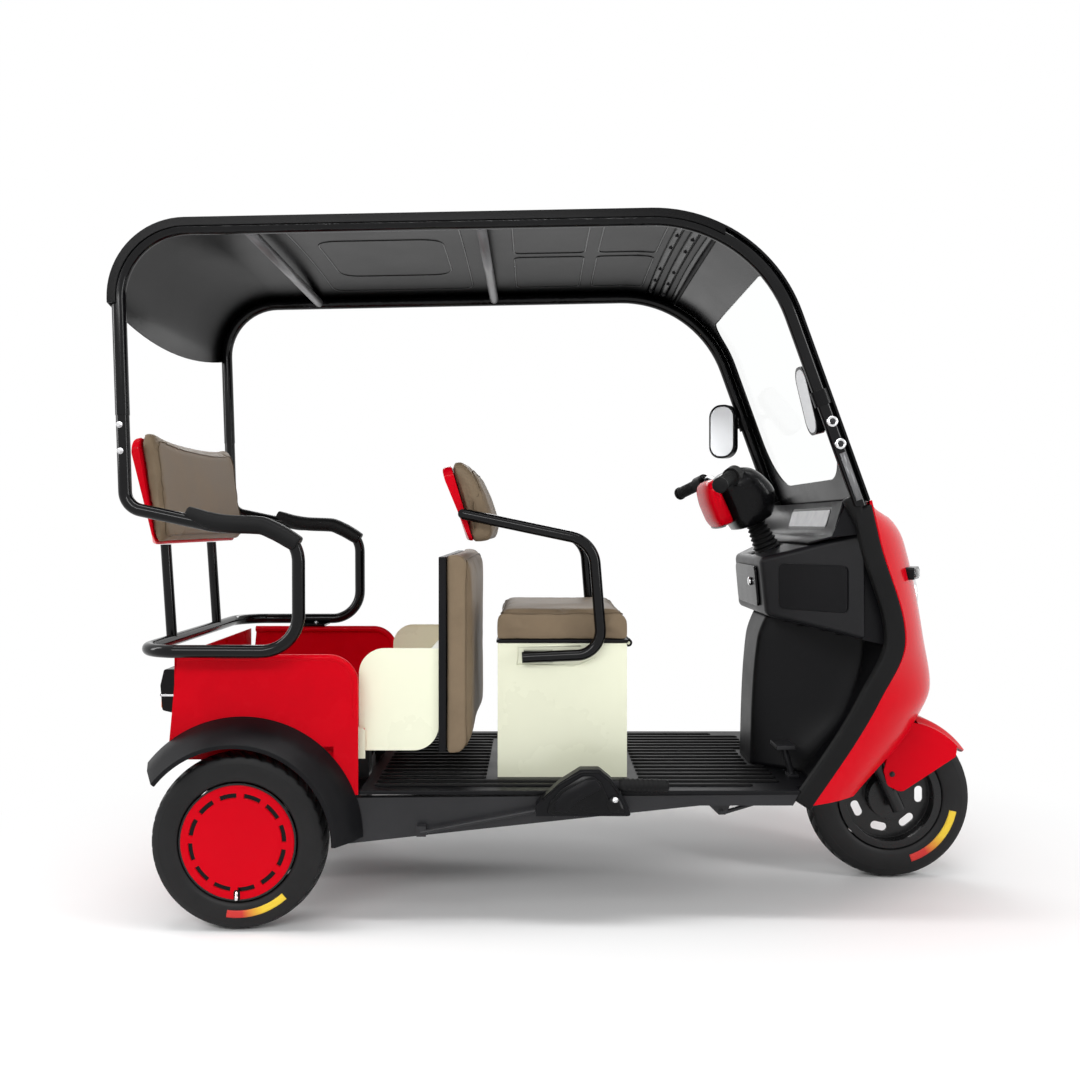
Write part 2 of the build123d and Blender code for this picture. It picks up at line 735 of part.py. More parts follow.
with BuildPart() as shell_trim:
    trim_top = (hoop_foot[1] - seat_gap, 693.0, body_half + 67.0)
    trim_rows = (trim_top,) + tuple(row[:3] for row in shell_rows[1:])
    for z, rim_x, half in trim_rows:
        with BuildSketch(Plane.XY.offset(z)):
            with Locations((rim_x - seat_gap - trim_deep / 2, half - trim_wide / 2)):
                Rectangle(trim_deep, trim_wide)
    loft(ruled=True)
    mirror(about=Plane.XZ)
save(shell_trim, "shell_trim")

with BuildPart() as turn_signals:
    with Locations(Plane(origin=(829, body_half - 72, 826), x_dir=(0, 0, 1), z_dir=(0.88, 0.47, 0))):
        Box(30, 86, 30)
    with BuildPart(mode=Mode.PRIVATE) as nose:
        rounds = []
        for z, rim_x, half, nose_x in shell_rows:
            with BuildSketch(Plane.XY.offset(z)) as filled:
                with BuildLine():
                    ThreePointArc((rim_x, -half), (nose_x, 0), (rim_x, half))
                    Line((rim_x, half), (rim_x, -half))
                make_face()
            rounds.append(filled.sketch)
        loft(rounds, ruled=True)
    add(nose.part, mode=Mode.SUBTRACT)
    mirror(about=Plane.XZ)
save(turn_signals, "turn_signals")

# Leg shield with its column hump, then the dash wedge above it
# Rows: height, outer X, outer half width beyond the floor's, well X, hump X, hump half width
shield_rows = (
    (floor_top + seat_gap, 560.0, -26.0, 590.0, 482.0, 90.0),
    (480.0, 668.0, -6.0, 705.0, 487.0, 92.0),
    (640.0, 742.0, 14.0, 745.0, 500.0, 96.0),
    (740.0, 742.0, 21.0, 745.0, 540.0, 100.0),
)
shield_front = 820.0
wedge_low_rear = (500.0, 712.0)
wedge_low_front = (790.0, 647.0)
with BuildPart() as leg_shield:
    for inset, spread, how in ((0, 0, Mode.ADD), (sheet, 2, Mode.SUBTRACT)):
        sections = []
        for z, outer_x, wider, well_x, hump_x, hump_half in shield_rows:
            outer_half = body_half + wider
            left_face = (
                (shield_front + spread, outer_half + spread),
                (outer_x + inset, outer_half + spread),
                (well_x + inset, outer_half - 30),
                (well_x + inset, hump_half + 70 - inset),
                (hump_x + inset, hump_half - inset),
            )
            right_face = [(x, -y) for x, y in reversed(left_face)]
            with BuildSketch(Plane.XY.offset(z)) as outline:
                with BuildLine():
                    Polyline(*left_face, *right_face, close=True)
                make_face()
            sections.append(outline.sketch)
        loft(sections, ruled=True, mode=how)
    slab((wedge_low_rear, wedge_low_front, (900, 640), (900, 900), (300, 900), (300, 764)), 0, (-500, 500), Mode.SUBTRACT)
save(leg_shield, "leg_shield")

with BuildPart() as dash:
    with BuildSketch(Plane.XY.offset(600)) as dash_plan:
        with BuildLine():
            Polyline(
                (dash_nose_x, -dash_nose_half),
                (dash_nose_x, dash_nose_half),
                (dash_front_x, dash_side_half),
                (dash_front_x, -dash_side_half),
                close=True,
            )
        make_face()
    extrude(dash_plan.sketch, amount=400, dir=(0, 0, 1))
    wedge = ((487, 858), (640, 912), (664, 998), (689, 998), (689, 671.5), (500, 712.5))
    slab(wedge, 0, (-500, 500), Mode.INTERSECT)
    with BuildSketch(Plane.XY.offset(600)) as hollow_plan:
        with BuildLine():
            Polyline(
                (dash_nose_x + 8, -dash_nose_half + 4),
                (dash_nose_x + 8, dash_nose_half - 4),
                (dash_front_x + 20, dash_side_half + 8),
                (dash_front_x + 20, -dash_side_half - 8),
                close=True,
            )
        make_face()
    hollow = ((495, 854), (636, 904), (660, 985), (720, 985), (720, 670), (507, 717))
    with BuildPart(mode=Mode.PRIVATE) as hollow_room:
        extrude(hollow_plan.sketch, amount=400, dir=(0, 0, 1))
        slab(hollow, 0, (-500, 500), Mode.INTERSECT)
    add(hollow_room.part, mode=Mode.SUBTRACT)
    flange = ((684, 673.2), (752, 658), (752, 700), (712, 900), (692, 996), (684, 996))
    slab(flange, 0, (dash_side_half - 15, dash_side_half - 11))
    slab(flange, 0, (11 - dash_side_half, 15 - dash_side_half))
    low = steer.from_local_coords((0, 0, 480))
    high = steer.from_local_coords((0, 0, 800))
    bar([low, high], [], 46, Mode.SUBTRACT)
save(dash, "dash")

# Hand brake on the right-hand sill, its rod, and the foot pedal
brake_y = (-floor_half - 32.0, -floor_half - seat_gap)
lever_y = -floor_half - 17.0
with BuildPart() as hand_brake:
    housing = ((-82, 264), (142, 264), (118, 314), (94, 350), (66, 373), (22, 373), (-26, 343), (-62, 310), (-82, 288))
    slab(housing, [0, 6, 10, 10, 12, 14, 20, 20, 4], brake_y)
    bar([(90, lever_y, 334), (228, lever_y, 331)], [], 13)
save(hand_brake, "hand_brake")

with BuildPart() as brake_rod:
    bar([(-83 - seat_gap, lever_y, 272), (-352, lever_y, 221)], [], 4)
    block((-362, -340), (lever_y - 2, -rail_half - seat_gap), (212, 236))
save(brake_rod, "brake_rod")

with BuildPart() as brake_pedal:
    block((545, 572), (-225, -185), (floor_top + seat_gap, floor_top + 8))
    bar([(558, -205, floor_top + 4), (536, -205, 392)], [], 8)
    block((512, 560), (-240, -170), (388, 398))
save(brake_pedal, "brake_pedal")

# Fork, fender and handlebar turn together
with BuildPart(steer) as fork:
    for side in (1, -1):
        with Locations((fork_offset, side * 70, 125)):
            Cylinder(17, 300)
    with Locations((8, 0, (crown_bottom + crown_top) / 2)):
        Box(70, 176, crown_top - crown_bottom)
    with Locations((0, 0, (crown_top + steerer_top) / 2)):
        Cylinder(steerer_r, steerer_top - crown_top)
    with Locations((0, 0, (crown_top + head_bottom - 0.5) / 2)):
        Cylinder(25, head_bottom - 0.5 - crown_top)
    with Locations(Location((fork_offset, 0, 0), (90, 0, 0))):
        Cylinder(front_pin_r, 170)
save(fork, "fork")

mud_in = 226.0
mud_out = 230.0
mud_half = 94.0
# Fender bands: half width, drop of the edges, start angle, end angle
mud_bands = ((64.0, 0.0, 31.0, 43.0), (mud_half, 14.0, 43.0, 76.0), (48.0, 0.0, 76.0, 128.0))
valance = ((826, 300), (836, 262), (872, 244), (1017, 338), (1100, 420), (1000, 520), (890, 470), (850, 400))
with BuildPart() as front_fender:
    for half, drop, start, end in mud_bands:
        way = (cos(radians(start)), 0, sin(radians(start)))
        lie = Plane(origin=(front_axle_x, 0, front_r), x_dir=(0, 1, 0), z_dir=(-way[2], 0, way[0]))
        rise = lie.to_local_coords(Vector(front_axle_x, 0, front_r) + Vector(*way)).Y
        upper = ((-half, mud_out - drop), (-half + 30, mud_out), (half - 30, mud_out), (half, mud_out - drop))
        lower = ((half, mud_in - drop), (half - 30, mud_in), (-half + 30, mud_in), (-half, mud_in - drop))
        with BuildSketch(lie) as band:
            with BuildLine():
                Polyline(*[(y, rise * r) for y, r in upper + lower], close=True)
            make_face()
        revolve(band.sketch, axis=Axis((front_axle_x, 0, front_r), (0, -1, 0)), revolution_arc=end - start)
    with BuildPart(mode=Mode.PRIVATE) as flaps:
        slab(valance, [10, 16, 18, 8, 0, 0, 0, 0], (mud_half - sheet, mud_half))
        mirror(about=Plane.XZ)
        cross_pin(front_axle_x, front_r, (-mud_half, mud_half), mud_out - 15, Mode.INTERSECT)
    add(flaps.part)
    with BuildPart(steer, mode=Mode.PRIVATE) as stay:
        with Locations((fork_offset, 0, (mud_in + 2 + crown_bottom) / 2)):
            Box(24, 40, crown_bottom - mud_in - 2 - seat_gap)
    add(stay.part)
save(front_fender, "front_fender")

bar_half = ((357.0, 330.0, 1038.0), (423.0, 200.0, 1076.0), (440.0, 70.0, 1052.0))
bar_points = [(x, -y, z) for x, y, z in bar_half] + [p for p in reversed(bar_half)]
bar_bends = [40, 40, 40, 40]
with BuildPart() as handlebar:
    bar(bar_points, bar_bends, 11)
    with BuildPart(steer, mode=Mode.PRIVATE) as stem:
        with Locations((-12, 0, (steerer_top + 940) / 2)):
            Box(46, 50, 940 - steerer_top)
    add(stem.part)
save(handlebar, "handlebar")

with BuildPart() as hand_grips:
    for side in (1, -1):
        end = Vector(bar_half[0][0], side * bar_half[0][1], bar_half[0][2])
        knee = Vector(bar_half[1][0], side * bar_half[1][1], bar_half[1][2])
        along = (end - knee).normalized()
        root = knee + along * 28
        bar([root, end + along * 7], [], 16)
        bar([root - along * 2, root + along * 34], [], 22)
    bar(bar_points, bar_bends, 11 + seat_gap, Mode.SUBTRACT)
save(hand_grips, "hand_grips")

pod_half = 92.0
with BuildPart(steer) as bar_pod:
    with BuildSketch(Plane(steer.origin, x_dir=steer.x_dir, z_dir=(0, -1, 0))) as pod_face:
        with BuildLine():
            FilletPolyline((-62, 822), (40, 812), (78, 880), (40, 962), (-62, 968), radius=[0, 16, 30, 24, 0], close=True)
        make_face()
    extrude(pod_face.sketch, amount=pod_half, both=True)
    with Locations((-12, 0, 870)):
        Box(47, 51, 142, mode=Mode.SUBTRACT)
    with Locations((0, 0, 840)):
        Cylinder(steerer_r + seat_gap, 90, mode=Mode.SUBTRACT)
    bar(bar_points, bar_bends, 11 + seat_gap, Mode.SUBTRACT)
save(bar_pod, "bar_pod")

with BuildPart(steer) as bar_cover:
    with BuildSketch(Plane(steer.origin, x_dir=steer.x_dir, z_dir=(0, -1, 0))) as cover_face:
        with BuildLine():
            FilletPolyline((-62.3, 822), (-62.3, 966), (-102, 956), (-112, 832), radius=[0, 0, 14, 14], close=True)
        make_face()
    extrude(cover_face.sketch, amount=pod_half + 8, both=True)
    bar(bar_points, bar_bends, 11 + seat_gap, Mode.SUBTRACT)
save(bar_cover, "bar_cover")

with BuildPart(steer) as steer_boot:
    with Locations((0, 0, 766)):
        Cone(38, 27, 84)
    with Locations((0, 0, 766)):
        Cylinder(steerer_r + seat_gap, 100, mode=Mode.SUBTRACT)
save(steer_boot, "steer_boot")

# Mirrors: centre, direction the glass faces, clamp height on the post
mirrors = (
    ((556.0, -342.0, 1235.0), (-0.973, 0.0, -0.232), 1235.0),
    ((491.0, 384.0, 1230.0), (-0.64, -0.77, 0.0), 1255.0),
)
with BuildPart() as mirror_shells:
    for centre, facing, clamp_z in mirrors:
        face = Plane(origin=centre, x_dir=Vector(0, 0, 1).cross(Vector(*facing)), z_dir=facing)
        with BuildSketch(face) as outline:
            RectangleRounded(88, 165, 38)
        extrude(outline.sketch, amount=-22)
        post_x = hoop_foot[0] - post_lean * (clamp_z - hoop_foot[1])
        side_y = tube_y if centre[1] > 0 else -tube_y
        back = Vector(*centre) - Vector(*facing).normalized() * 12
        bar([back, Vector(post_x, side_y, clamp_z)], [], 7)
        bar([Vector(post_x, side_y, clamp_z) - post_up * 18, Vector(post_x, side_y, clamp_z) + post_up * 18], [], 21)
        with BuildSketch(face) as recess:
            RectangleRounded(78, 152, 34)
        extrude(recess.sketch, amount=-4, mode=Mode.SUBTRACT)
    for y in (-tube_y, tube_y):
        bar(hoop_points(y), hoop_bends, tube_r + seat_gap, Mode.SUBTRACT)
    ahead = window_plane.z_dir * (tube_r - seat_gap)
    low = Vector(hoop_foot[0], 0, hoop_foot[1]) + ahead
    high = low + post_up * 500
    far = window_plane.z_dir * 90
    front_side = [(p.X, p.Z) for p in (low, high, high + far, low + far)]
    slab(front_side, 0, (-500, 500), Mode.SUBTRACT)
save(mirror_shells, "mirror_shells")

with BuildPart() as mirror_glass:
    for centre, facing, clamp_z in mirrors:
        face = Plane(origin=centre, x_dir=Vector(0, 0, 1).cross(Vector(*facing)), z_dir=facing)
        with BuildSketch(face) as pane:
            RectangleRounded(77.4, 151.4, 33.7)
        extrude(pane.sketch, amount=-3.7)
save(mirror_glass, "mirror_glass")
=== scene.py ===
import math
from contextlib import contextmanager

import bmesh
import bpy
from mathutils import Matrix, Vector
from mathutils.bvhtree import BVHTree
from mathutils.kdtree import KDTree


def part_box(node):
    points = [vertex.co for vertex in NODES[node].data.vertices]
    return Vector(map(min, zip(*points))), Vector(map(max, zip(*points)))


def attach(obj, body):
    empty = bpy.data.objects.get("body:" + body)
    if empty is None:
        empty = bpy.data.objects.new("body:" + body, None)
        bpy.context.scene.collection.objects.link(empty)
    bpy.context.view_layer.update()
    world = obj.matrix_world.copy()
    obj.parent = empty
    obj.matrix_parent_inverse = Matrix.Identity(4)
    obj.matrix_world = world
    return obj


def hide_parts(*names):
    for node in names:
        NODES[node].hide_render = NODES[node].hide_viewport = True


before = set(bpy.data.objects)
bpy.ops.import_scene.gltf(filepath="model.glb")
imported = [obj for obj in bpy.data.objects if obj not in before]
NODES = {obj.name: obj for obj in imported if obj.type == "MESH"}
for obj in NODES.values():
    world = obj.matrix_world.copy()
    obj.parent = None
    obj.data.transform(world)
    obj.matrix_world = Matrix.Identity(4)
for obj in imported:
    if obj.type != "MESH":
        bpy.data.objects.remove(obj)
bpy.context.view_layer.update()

# Lengths in this file are in mm unless a comment says metres; meshes are in metres
MM = 0.001
SIDES = (1, -1)  # left, right
TAGS = {1: "l", -1: "r"}
SCENE = bpy.context.scene
FRONT_AXLE = (863, 0, 216)
REAR_AXLE = (-775, 355, 206)
RIM_RADIUS = 137
DOUBLE_GAP = 0.00005  # points closer than this are one point, in metres


# Materials

def feed(tree, node, inputs):
    """Inputs of a node by name or number: a value, or the output that is linked to it."""
    for name, value in inputs.items():
        if isinstance(value, bpy.types.NodeSocket):
            tree.links.new(value, node.inputs[name])
        else:
            node.inputs[name].default_value = value


def add_node(tree, kind, inputs, **settings):
    node = tree.nodes.new("ShaderNode" + kind)
    for name, value in settings.items():
        setattr(node, name, value)
    feed(tree, node, inputs)
    return node


def ramp(tree, share, *stops):
    """Colour that runs between two (position, colour) stops."""
    node = add_node(tree, "ValToRGB", {"Fac": share})
    for element, (position, colour) in zip(node.color_ramp.elements, stops):
        element.position = position
        element.color = colour
    return node.outputs["Color"]


def new_material(name):
    """Material, its node tree, its shader, and the object's own coordinates."""
    mat = bpy.data.materials.new(name)
    mat.use_nodes = True
    tree = mat.node_tree
    return mat, tree, tree.nodes["Principled BSDF"], add_node(tree, "TexCoord", {}).outputs["Object"]


NOISE_LOW, NOISE_HIGH = 0.3, 0.7  # part of the noise's range that the variation uses


def surface(name, base, rough, metallic=0.0, coat=0.0, vary=0.12, vary_scale=7.0, rough_vary=0.06, bump=0.0,
            bump_scale=600.0, cells=False, sheen=0.0, specular=0.5):
    """Opaque material: slow colour and gloss variation, and a fine grain as bump, its height in metres."""
    mat, tree, shader, here = new_material(name)
    slow = add_node(tree, "TexNoise", {"Vector": here, "Scale": vary_scale, "Detail": 5.0, "Roughness": 0.6})
    slow = slow.outputs["Fac"]
    colour = ramp(tree, slow, (NOISE_LOW, [c * (1 - vary) for c in base] + [1]),
                  (NOISE_HIGH, [min(1, c * (1 + vary)) for c in base] + [1]))
    gloss = add_node(tree, "MapRange", {"Value": slow, "From Min": NOISE_LOW, "From Max": NOISE_HIGH,
                                        "To Min": max(0.02, rough - rough_vary),
                                        "To Max": min(1.0, rough + rough_vary)})
    feed(tree, shader, {"Base Color": colour, "Roughness": gloss.outputs["Result"], "Metallic": metallic,
                        "Coat Weight": coat, "Coat Roughness": 0.04, "Specular IOR Level": specular})
    if sheen:
        feed(tree, shader, {"Sheen Weight": sheen, "Sheen Roughness": 0.4})
    if bump:
        grain = {"Vector": here, "Scale": bump_scale}
        if cells:
            height = add_node(tree, "TexVoronoi", grain, feature="SMOOTH_F1").outputs["Distance"]
        else:
            height = add_node(tree, "TexNoise", {**grain, "Detail": 3.0}).outputs["Fac"]
        relief = add_node(tree, "Bump", {"Strength": 0.6, "Distance": bump, "Height": height})
        feed(tree, shader, {"Normal": relief.outputs["Normal"]})
    return mat


def lens(name, colour, rough=0.03, transmission=1.0, ior=1.45):
    """Clear or tinted plastic or glass, with faint moulded waves in its gloss."""
    mat, tree, shader, here = new_material(name)
    waves = add_node(tree, "TexNoise", {"Vector": here, "Scale": 40.0})
    gloss = add_node(tree, "MapRange", {"Value": waves.outputs["Fac"], "To Min": rough, "To Max": rough + 0.04})
    feed(tree, shader, {"Base Color": (*colour, 1), "Transmission Weight": transmission, "IOR": ior,
                        "Roughness": gloss.outputs["Result"]})
    return mat


RED = surface("red_paint", (0.64, 0.0005, 0.009), 0.22, coat=0.05, vary=0.05, vary_scale=3.0, bump=0.00003,
              bump_scale=350, specular=0.03)
RED_PANEL = surface("red_panel", (0.6, 0.0005, 0.008), 0.28, coat=0.05, vary=0.06, bump=0.00004, bump_scale=300,
                    specular=0.03)
CREAM = surface("cream_paint", (0.88, 0.9, 0.7), 0.3, coat=0.3, vary=0.02, vary_scale=3.0, bump=0.00003,
                bump_scale=300)
TUBE = surface("black_tube", (0.0025, 0.0025, 0.003), 0.13, vary=0.3, bump=0.00002, bump_scale=500, specular=0.22)
PLASTIC = surface("dark_plastic", (0.005, 0.005, 0.006), 0.4, vary=0.2, bump=0.00012, bump_scale=1300,
                  specular=0.13)
# Lighter, glossier copy of the dark plastic for the dash: its lighter colour is painted light of the dash's lit
# side
DASH_PAINTED_LIGHT = surface("dash_plastic_painted_light", (0.008, 0.008, 0.0095), 0.4, vary=0.2, bump=0.00012, bump_scale=1300,
               specular=0.24)
GLOSS_PLASTIC = surface("gloss_plastic", (0.0035, 0.0035, 0.004), 0.22, vary=0.2, bump=0.00005, bump_scale=700,
                        specular=0.14)
LINING = surface("roof_lining", (0.0022, 0.0022, 0.0025), 0.34, vary=0.08, rough_vary=0.015, bump=0.00008,
                 bump_scale=900, specular=0.1)
RUBBER = surface("black_rubber", (0.0055, 0.0055, 0.0058), 0.55, vary=0.3, bump=0.0002, bump_scale=700,
                 specular=0.14)
TYRE = surface("tyre_rubber", (0.008, 0.008, 0.0085), 0.5, vary=0.3, vary_scale=12.0, bump=0.0002, bump_scale=900,
               specular=0.25)
VINYL = surface("brown_vinyl", (0.205, 0.152, 0.098), 0.5, vary=0.1, vary_scale=9.0, bump=0.00045, bump_scale=420,
                cells=True, sheen=0.02, specular=0.14)
PIPING = surface("brown_piping", (0.15, 0.111, 0.072), 0.5, vary=0.1, bump=0.0002, bump_scale=500, cells=True,
                 specular=0.14)
RIM = surface("rim_black", (0.006, 0.006, 0.0065), 0.26, vary=0.3, bump=0.00004, bump_scale=400, specular=0.35)
FRAME = surface("frame_grey", (0.016, 0.016, 0.018), 0.36, vary=0.2, bump=0.0001, bump_scale=500, specular=0.3)
STEEL = surface("steel", (0.55, 0.55, 0.56), 0.3, metallic=1.0, vary=0.1, bump=0.00005, bump_scale=800)
CHROME = surface("chrome", (0.75, 0.75, 0.76), 0.08, metallic=1.0, vary=0.03, rough_vary=0.03)
BOW = surface("bow_grey", (0.16, 0.16, 0.165), 0.35, metallic=0.3, vary=0.1, bump=0.00005)
CAST = surface("motor_cast", (0.32, 0.32, 0.33), 0.45, metallic=0.9, vary=0.15, bump=0.0003, bump_scale=500)
CASE = surface("battery_case", (0.03, 0.033, 0.04), 0.5, vary=0.15, bump=0.0002, bump_scale=900)
MIRROR = surface("mirror_face", (0.72, 0.73, 0.75), 0.22, metallic=0.35, vary=0.03, rough_vary=0.03)
GLASS = lens("clear_glass", (0.99, 1.0, 0.995), 0.0, ior=1.03)
LENS_CLEAR = lens("lens_clear", (0.96, 0.97, 0.98), 0.02)
LENS_RED = lens("lens_red", (0.6, 0.01, 0.012), 0.06, 0.55)
LENS_AMBER = lens("lens_amber", (0.85, 0.2, 0.01), 0.06, 0.55)
REFLECTOR = surface("reflector", (0.85, 0.85, 0.86), 0.1, metallic=1.0, vary=0.05)
DISPLAY = surface("display_grey", (0.42, 0.42, 0.44), 0.2, coat=0.5, vary=0.1, vary_scale=30.0)


# Objects and modifiers

def add_object(name, data):
    obj = bpy.data.objects.new(name, data)
    SCENE.collection.objects.link(obj)
    return obj


def discard(obj):
    mesh = obj.data
    bpy.data.objects.remove(obj)
    bpy.data.meshes.remove(mesh)


@contextmanager
def editing(mesh):
    """The mesh as a bmesh, written back at the end."""
    work = bmesh.new()
    work.from_mesh(mesh)
    yield work
    work.to_mesh(mesh)
    work.free()


def mesh_object(name, verts, faces, *mats, smooth=True):
    mesh = bpy.data.meshes.new(name)
    mesh.from_pydata([tuple(Vector(v) * MM) for v in verts], [], faces)
    mesh.validate()
    obj = add_object(name, mesh)
    for mat in mats:
        mesh.materials.append(mat)
    with editing(mesh) as work:
        bmesh.ops.recalc_face_normals(work, faces=work.faces)
    for face in mesh.polygons:
        face.use_smooth = smooth
    return obj


def welded_copy(name, source):
    """New object with source's mesh, its doubled points merged."""
    obj = add_object(name, source.data.copy())
    obj.data.name = name
    with editing(obj.data) as work:
        bmesh.ops.remove_doubles(work, verts=work.verts, dist=DOUBLE_GAP)
    return obj


def place(obj, body, *replaced, slot=None):
    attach(obj, body)
    if replaced:
        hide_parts(*replaced)
    return obj


def even_shade(obj, keep_sharp=False):
    obj.modifiers.new("shade", "WEIGHTED_NORMAL").keep_sharp = keep_sharp
    return obj


def bevel(obj, width, segments=2, angle=35, weld=False):
    if weld:
        obj.modifiers.new("weld", "WELD").merge_threshold = 0.02 * MM
    edge = obj.modifiers.new("bevel", "BEVEL")
    edge.width = width * MM
    edge.segments = segments
    edge.limit_method = "ANGLE"
    edge.angle_limit = math.radians(angle)
    edge.miter_outer = "MITER_ARC"
    return even_shade(obj)


def bake(obj):
    """Modifiers made part of the mesh."""
    depsgraph = bpy.context.evaluated_depsgraph_get()
    mesh = bpy.data.meshes.new_from_object(obj.evaluated_get(depsgraph))
    old = obj.data
    obj.modifiers.clear()
    obj.data = mesh
    bpy.data.meshes.remove(old)
    return obj


def thicken(sheet, thick, towards=None):
    """Open sheet made a closed one that grows to the side named, or evenly to both."""
    grows = 0
    if towards:
        grows = 1 if sheet.data.polygons[0].normal.dot(Vector(towards)) > 0 else -1
    solid = sheet.modifiers.new("thick", "SOLIDIFY")
    solid.thickness = thick * MM
    solid.offset = grows
    return bake(sheet)


def carve(obj, *cutters):
    """Cutters taken out of obj, then removed."""
    for cutter in cutters:
        cut = obj.modifiers.new("cut", "BOOLEAN")
        cut.object = cutter
        cut.operation = "DIFFERENCE"
        cut.solver = "EXACT"
    bake(obj)
    for cutter in cutters:
        discard(cutter)
    return obj


def join(name, pieces):
    """One object from several."""
    work = bmesh.new()
    mats = []
    for piece in pieces:
        base = len(work.faces)
        work.from_mesh(piece.data)
        work.faces.ensure_lookup_table()
        own = list(piece.data.materials)
        for mat in own:
            if mat not in mats:
                mats.append(mat)
        for face in work.faces[base:]:
            face.material_index = mats.index(own[face.material_index])
    mesh = bpy.data.meshes.new(name)
    work.to_mesh(mesh)
    work.free()
    for mat in mats:
        mesh.materials.append(mat)
    for piece in pieces:
        discard(piece)
    return add_object(name, mesh)


def surface_tree(obj):
    """Tree of obj's faces, in metres."""
    work = bmesh.new()
    work.from_mesh(obj.data)
    tree = BVHTree.FromBMesh(work)
    work.free()
    return tree


# Lines and forms

def ease(t):
    t = max(0.0, min(1.0, t))
    return t * t * (3 - 2 * t)


def bulge(value, power):
    """Signed power, which turns a circle's sine or cosine into an oblong's."""
    return math.copysign(abs(value) ** power, value)


def rectangle(wide, tall):
    """Corners of a flat rectangle about the origin."""
    return [(-wide / 2, -tall / 2), (wide / 2, -tall / 2), (wide / 2, tall / 2), (-wide / 2, tall / 2)]


def side_line(points):
    """(X, Z) points as points in the plane Y = 0."""
    return [(x, 0, z) for x, z in points]


def rounded_path(points, radius, closed=False, step=10):
    """Points along straight runs with rounded corners; each corner gets an arc of step segments."""
    corners = [Vector(p) for p in points]
    count = len(corners)
    radii = radius if isinstance(radius, (list, tuple)) else [radius] * count
    out = []
    for i, corner in enumerate(corners):
        if not closed and i in (0, count - 1):
            out.append(corner)
            continue
        before = (corners[i - 1] - corner).normalized()
        after = (corners[(i + 1) % count] - corner).normalized()
        reach = radii[i] / math.tan(before.angle(after) / 2)
        start = corner + before * reach
        end = corner + after * reach
        for k in range(step + 1):
            t = k / step
            out.append(start * (1 - t) ** 2 + corner * 2 * t * (1 - t) + end * t * t)
    return out


def even_steps(loop, longest):
    """Closed loop with points added on its long runs."""
    out = []
    for i, p in enumerate(loop):
        q = loop[(i + 1) % len(loop)]
        pieces = max(1, int((q - p).length / longest))
        out += [p.lerp(q, k / pieces) for k in range(pieces)]
    return out


def smooth_rows(rows, count):
    """Rows with a rising first value, read at even steps along monotone cubics."""
    zs = [row[0] for row in rows]
    slopes = []
    for c in range(1, len(rows[0])):
        steps = [(rows[i + 1][c] - rows[i][c]) / (zs[i + 1] - zs[i]) for i in range(len(rows) - 1)]
        line = [steps[0]]
        for a, b in zip(steps, steps[1:]):
            line.append(0.0 if a * b <= 0 else 2 * a * b / (a + b))
        slopes.append(line + [steps[-1]])
    out = []
    for k in range(count + 1):
        z = zs[0] + (zs[-1] - zs[0]) * k / count
        i = max(j for j in range(len(zs) - 1) if zs[j] <= z or j == 0)
        wide = zs[i + 1] - zs[i]
        t = (z - zs[i]) / wide
        row = [z]
        for c in range(1, len(rows[0])):
            a, b = rows[i][c], rows[i + 1][c]
            row.append((2 * t ** 3 - 3 * t ** 2 + 1) * a + (t ** 3 - 2 * t ** 2 + t) * wide * slopes[c - 1][i]
                       + (3 * t ** 2 - 2 * t ** 3) * b + (t ** 3 - t ** 2) * wide * slopes[c - 1][i + 1])
        out.append(row)
    return out


def quads(rows, wide, wrap_rows, wrap_wide):
    """Faces between rows of points, each row wide points long; either direction may close on itself."""
    faces = []
    for i in range(rows if wrap_rows else rows - 1):
        near, far = i * wide, (i + 1) % rows * wide
        for k in range(wide if wrap_wide else wide - 1):
            after = (k + 1) % wide
            faces.append((near + k, near + after, far + after, far + k))
    return faces


def grid(name, rows, mat):
    """Open sheet through rows of points."""
    return mesh_object(name, [p for row in rows for p in row], quads(len(rows), len(rows[0]), False, False), mat)


def stack(name, rings, mat, smooth=True):
    """Closed form through rings of equally many points, with flat ends."""
    n = len(rings[0])
    last = (len(rings) - 1) * n
    faces = [tuple(range(n)), tuple(range(last, last + n))] + quads(len(rings), n, False, True)
    return mesh_object(name, [p for ring in rings for p in ring], faces, mat, smooth=smooth)


def ring_section(radius, count=12, flat=1.0):
    return [(radius * math.cos(2 * math.pi * k / count), radius * flat * math.sin(2 * math.pi * k / count))
            for k in range(count)]


def sweep(name, path, section, mat, closed=False, up=(0, 0, 1), scale=None):
    """Section, a list of (sideways, up) points, carried along path."""
    path = [Vector(p) for p in path]
    count = len(path)
    up = Vector(up)
    verts = []
    for i, point in enumerate(path):
        ahead = path[(i + 1) % count] if closed or i < count - 1 else point
        behind = path[i - 1] if closed or i > 0 else point
        along = (ahead - behind).normalized()
        side = along.cross(up)
        if side.length < 1e-5:
            side = along.cross(Vector((0, 1, 0)))
        side.normalize()
        lift = side.cross(along).normalized()
        size = scale[i] if scale else 1.0
        verts += [point + side * (a * size) + lift * (b * size) for a, b in section]
    n = len(section)
    faces = quads(count, n, closed, True)
    if not closed:
        faces += [tuple(range(n)), tuple((count - 1) * n + k for k in range(n))]
    return mesh_object(name, verts, faces, mat)


def lathe(name, profile, origin, axis, mat, segments=48, closed=False):
    """Profile of (along, radius) points turned about the axis through origin."""
    axis = Vector(axis).normalized()
    origin = Vector(origin)
    side = axis.orthogonal().normalized()
    other = axis.cross(side)
    verts = []
    for k in range(segments):
        turn = 2 * math.pi * k / segments
        out = side * math.cos(turn) + other * math.sin(turn)
        verts += [origin + axis * a + out * r for a, r in profile]
    n = len(profile)
    faces = quads(segments, n, True, closed)
    if not closed:
        faces += [tuple(k * n for k in range(segments)), tuple(k * n + n - 1 for k in range(segments))]
    return mesh_object(name, verts, faces, mat)


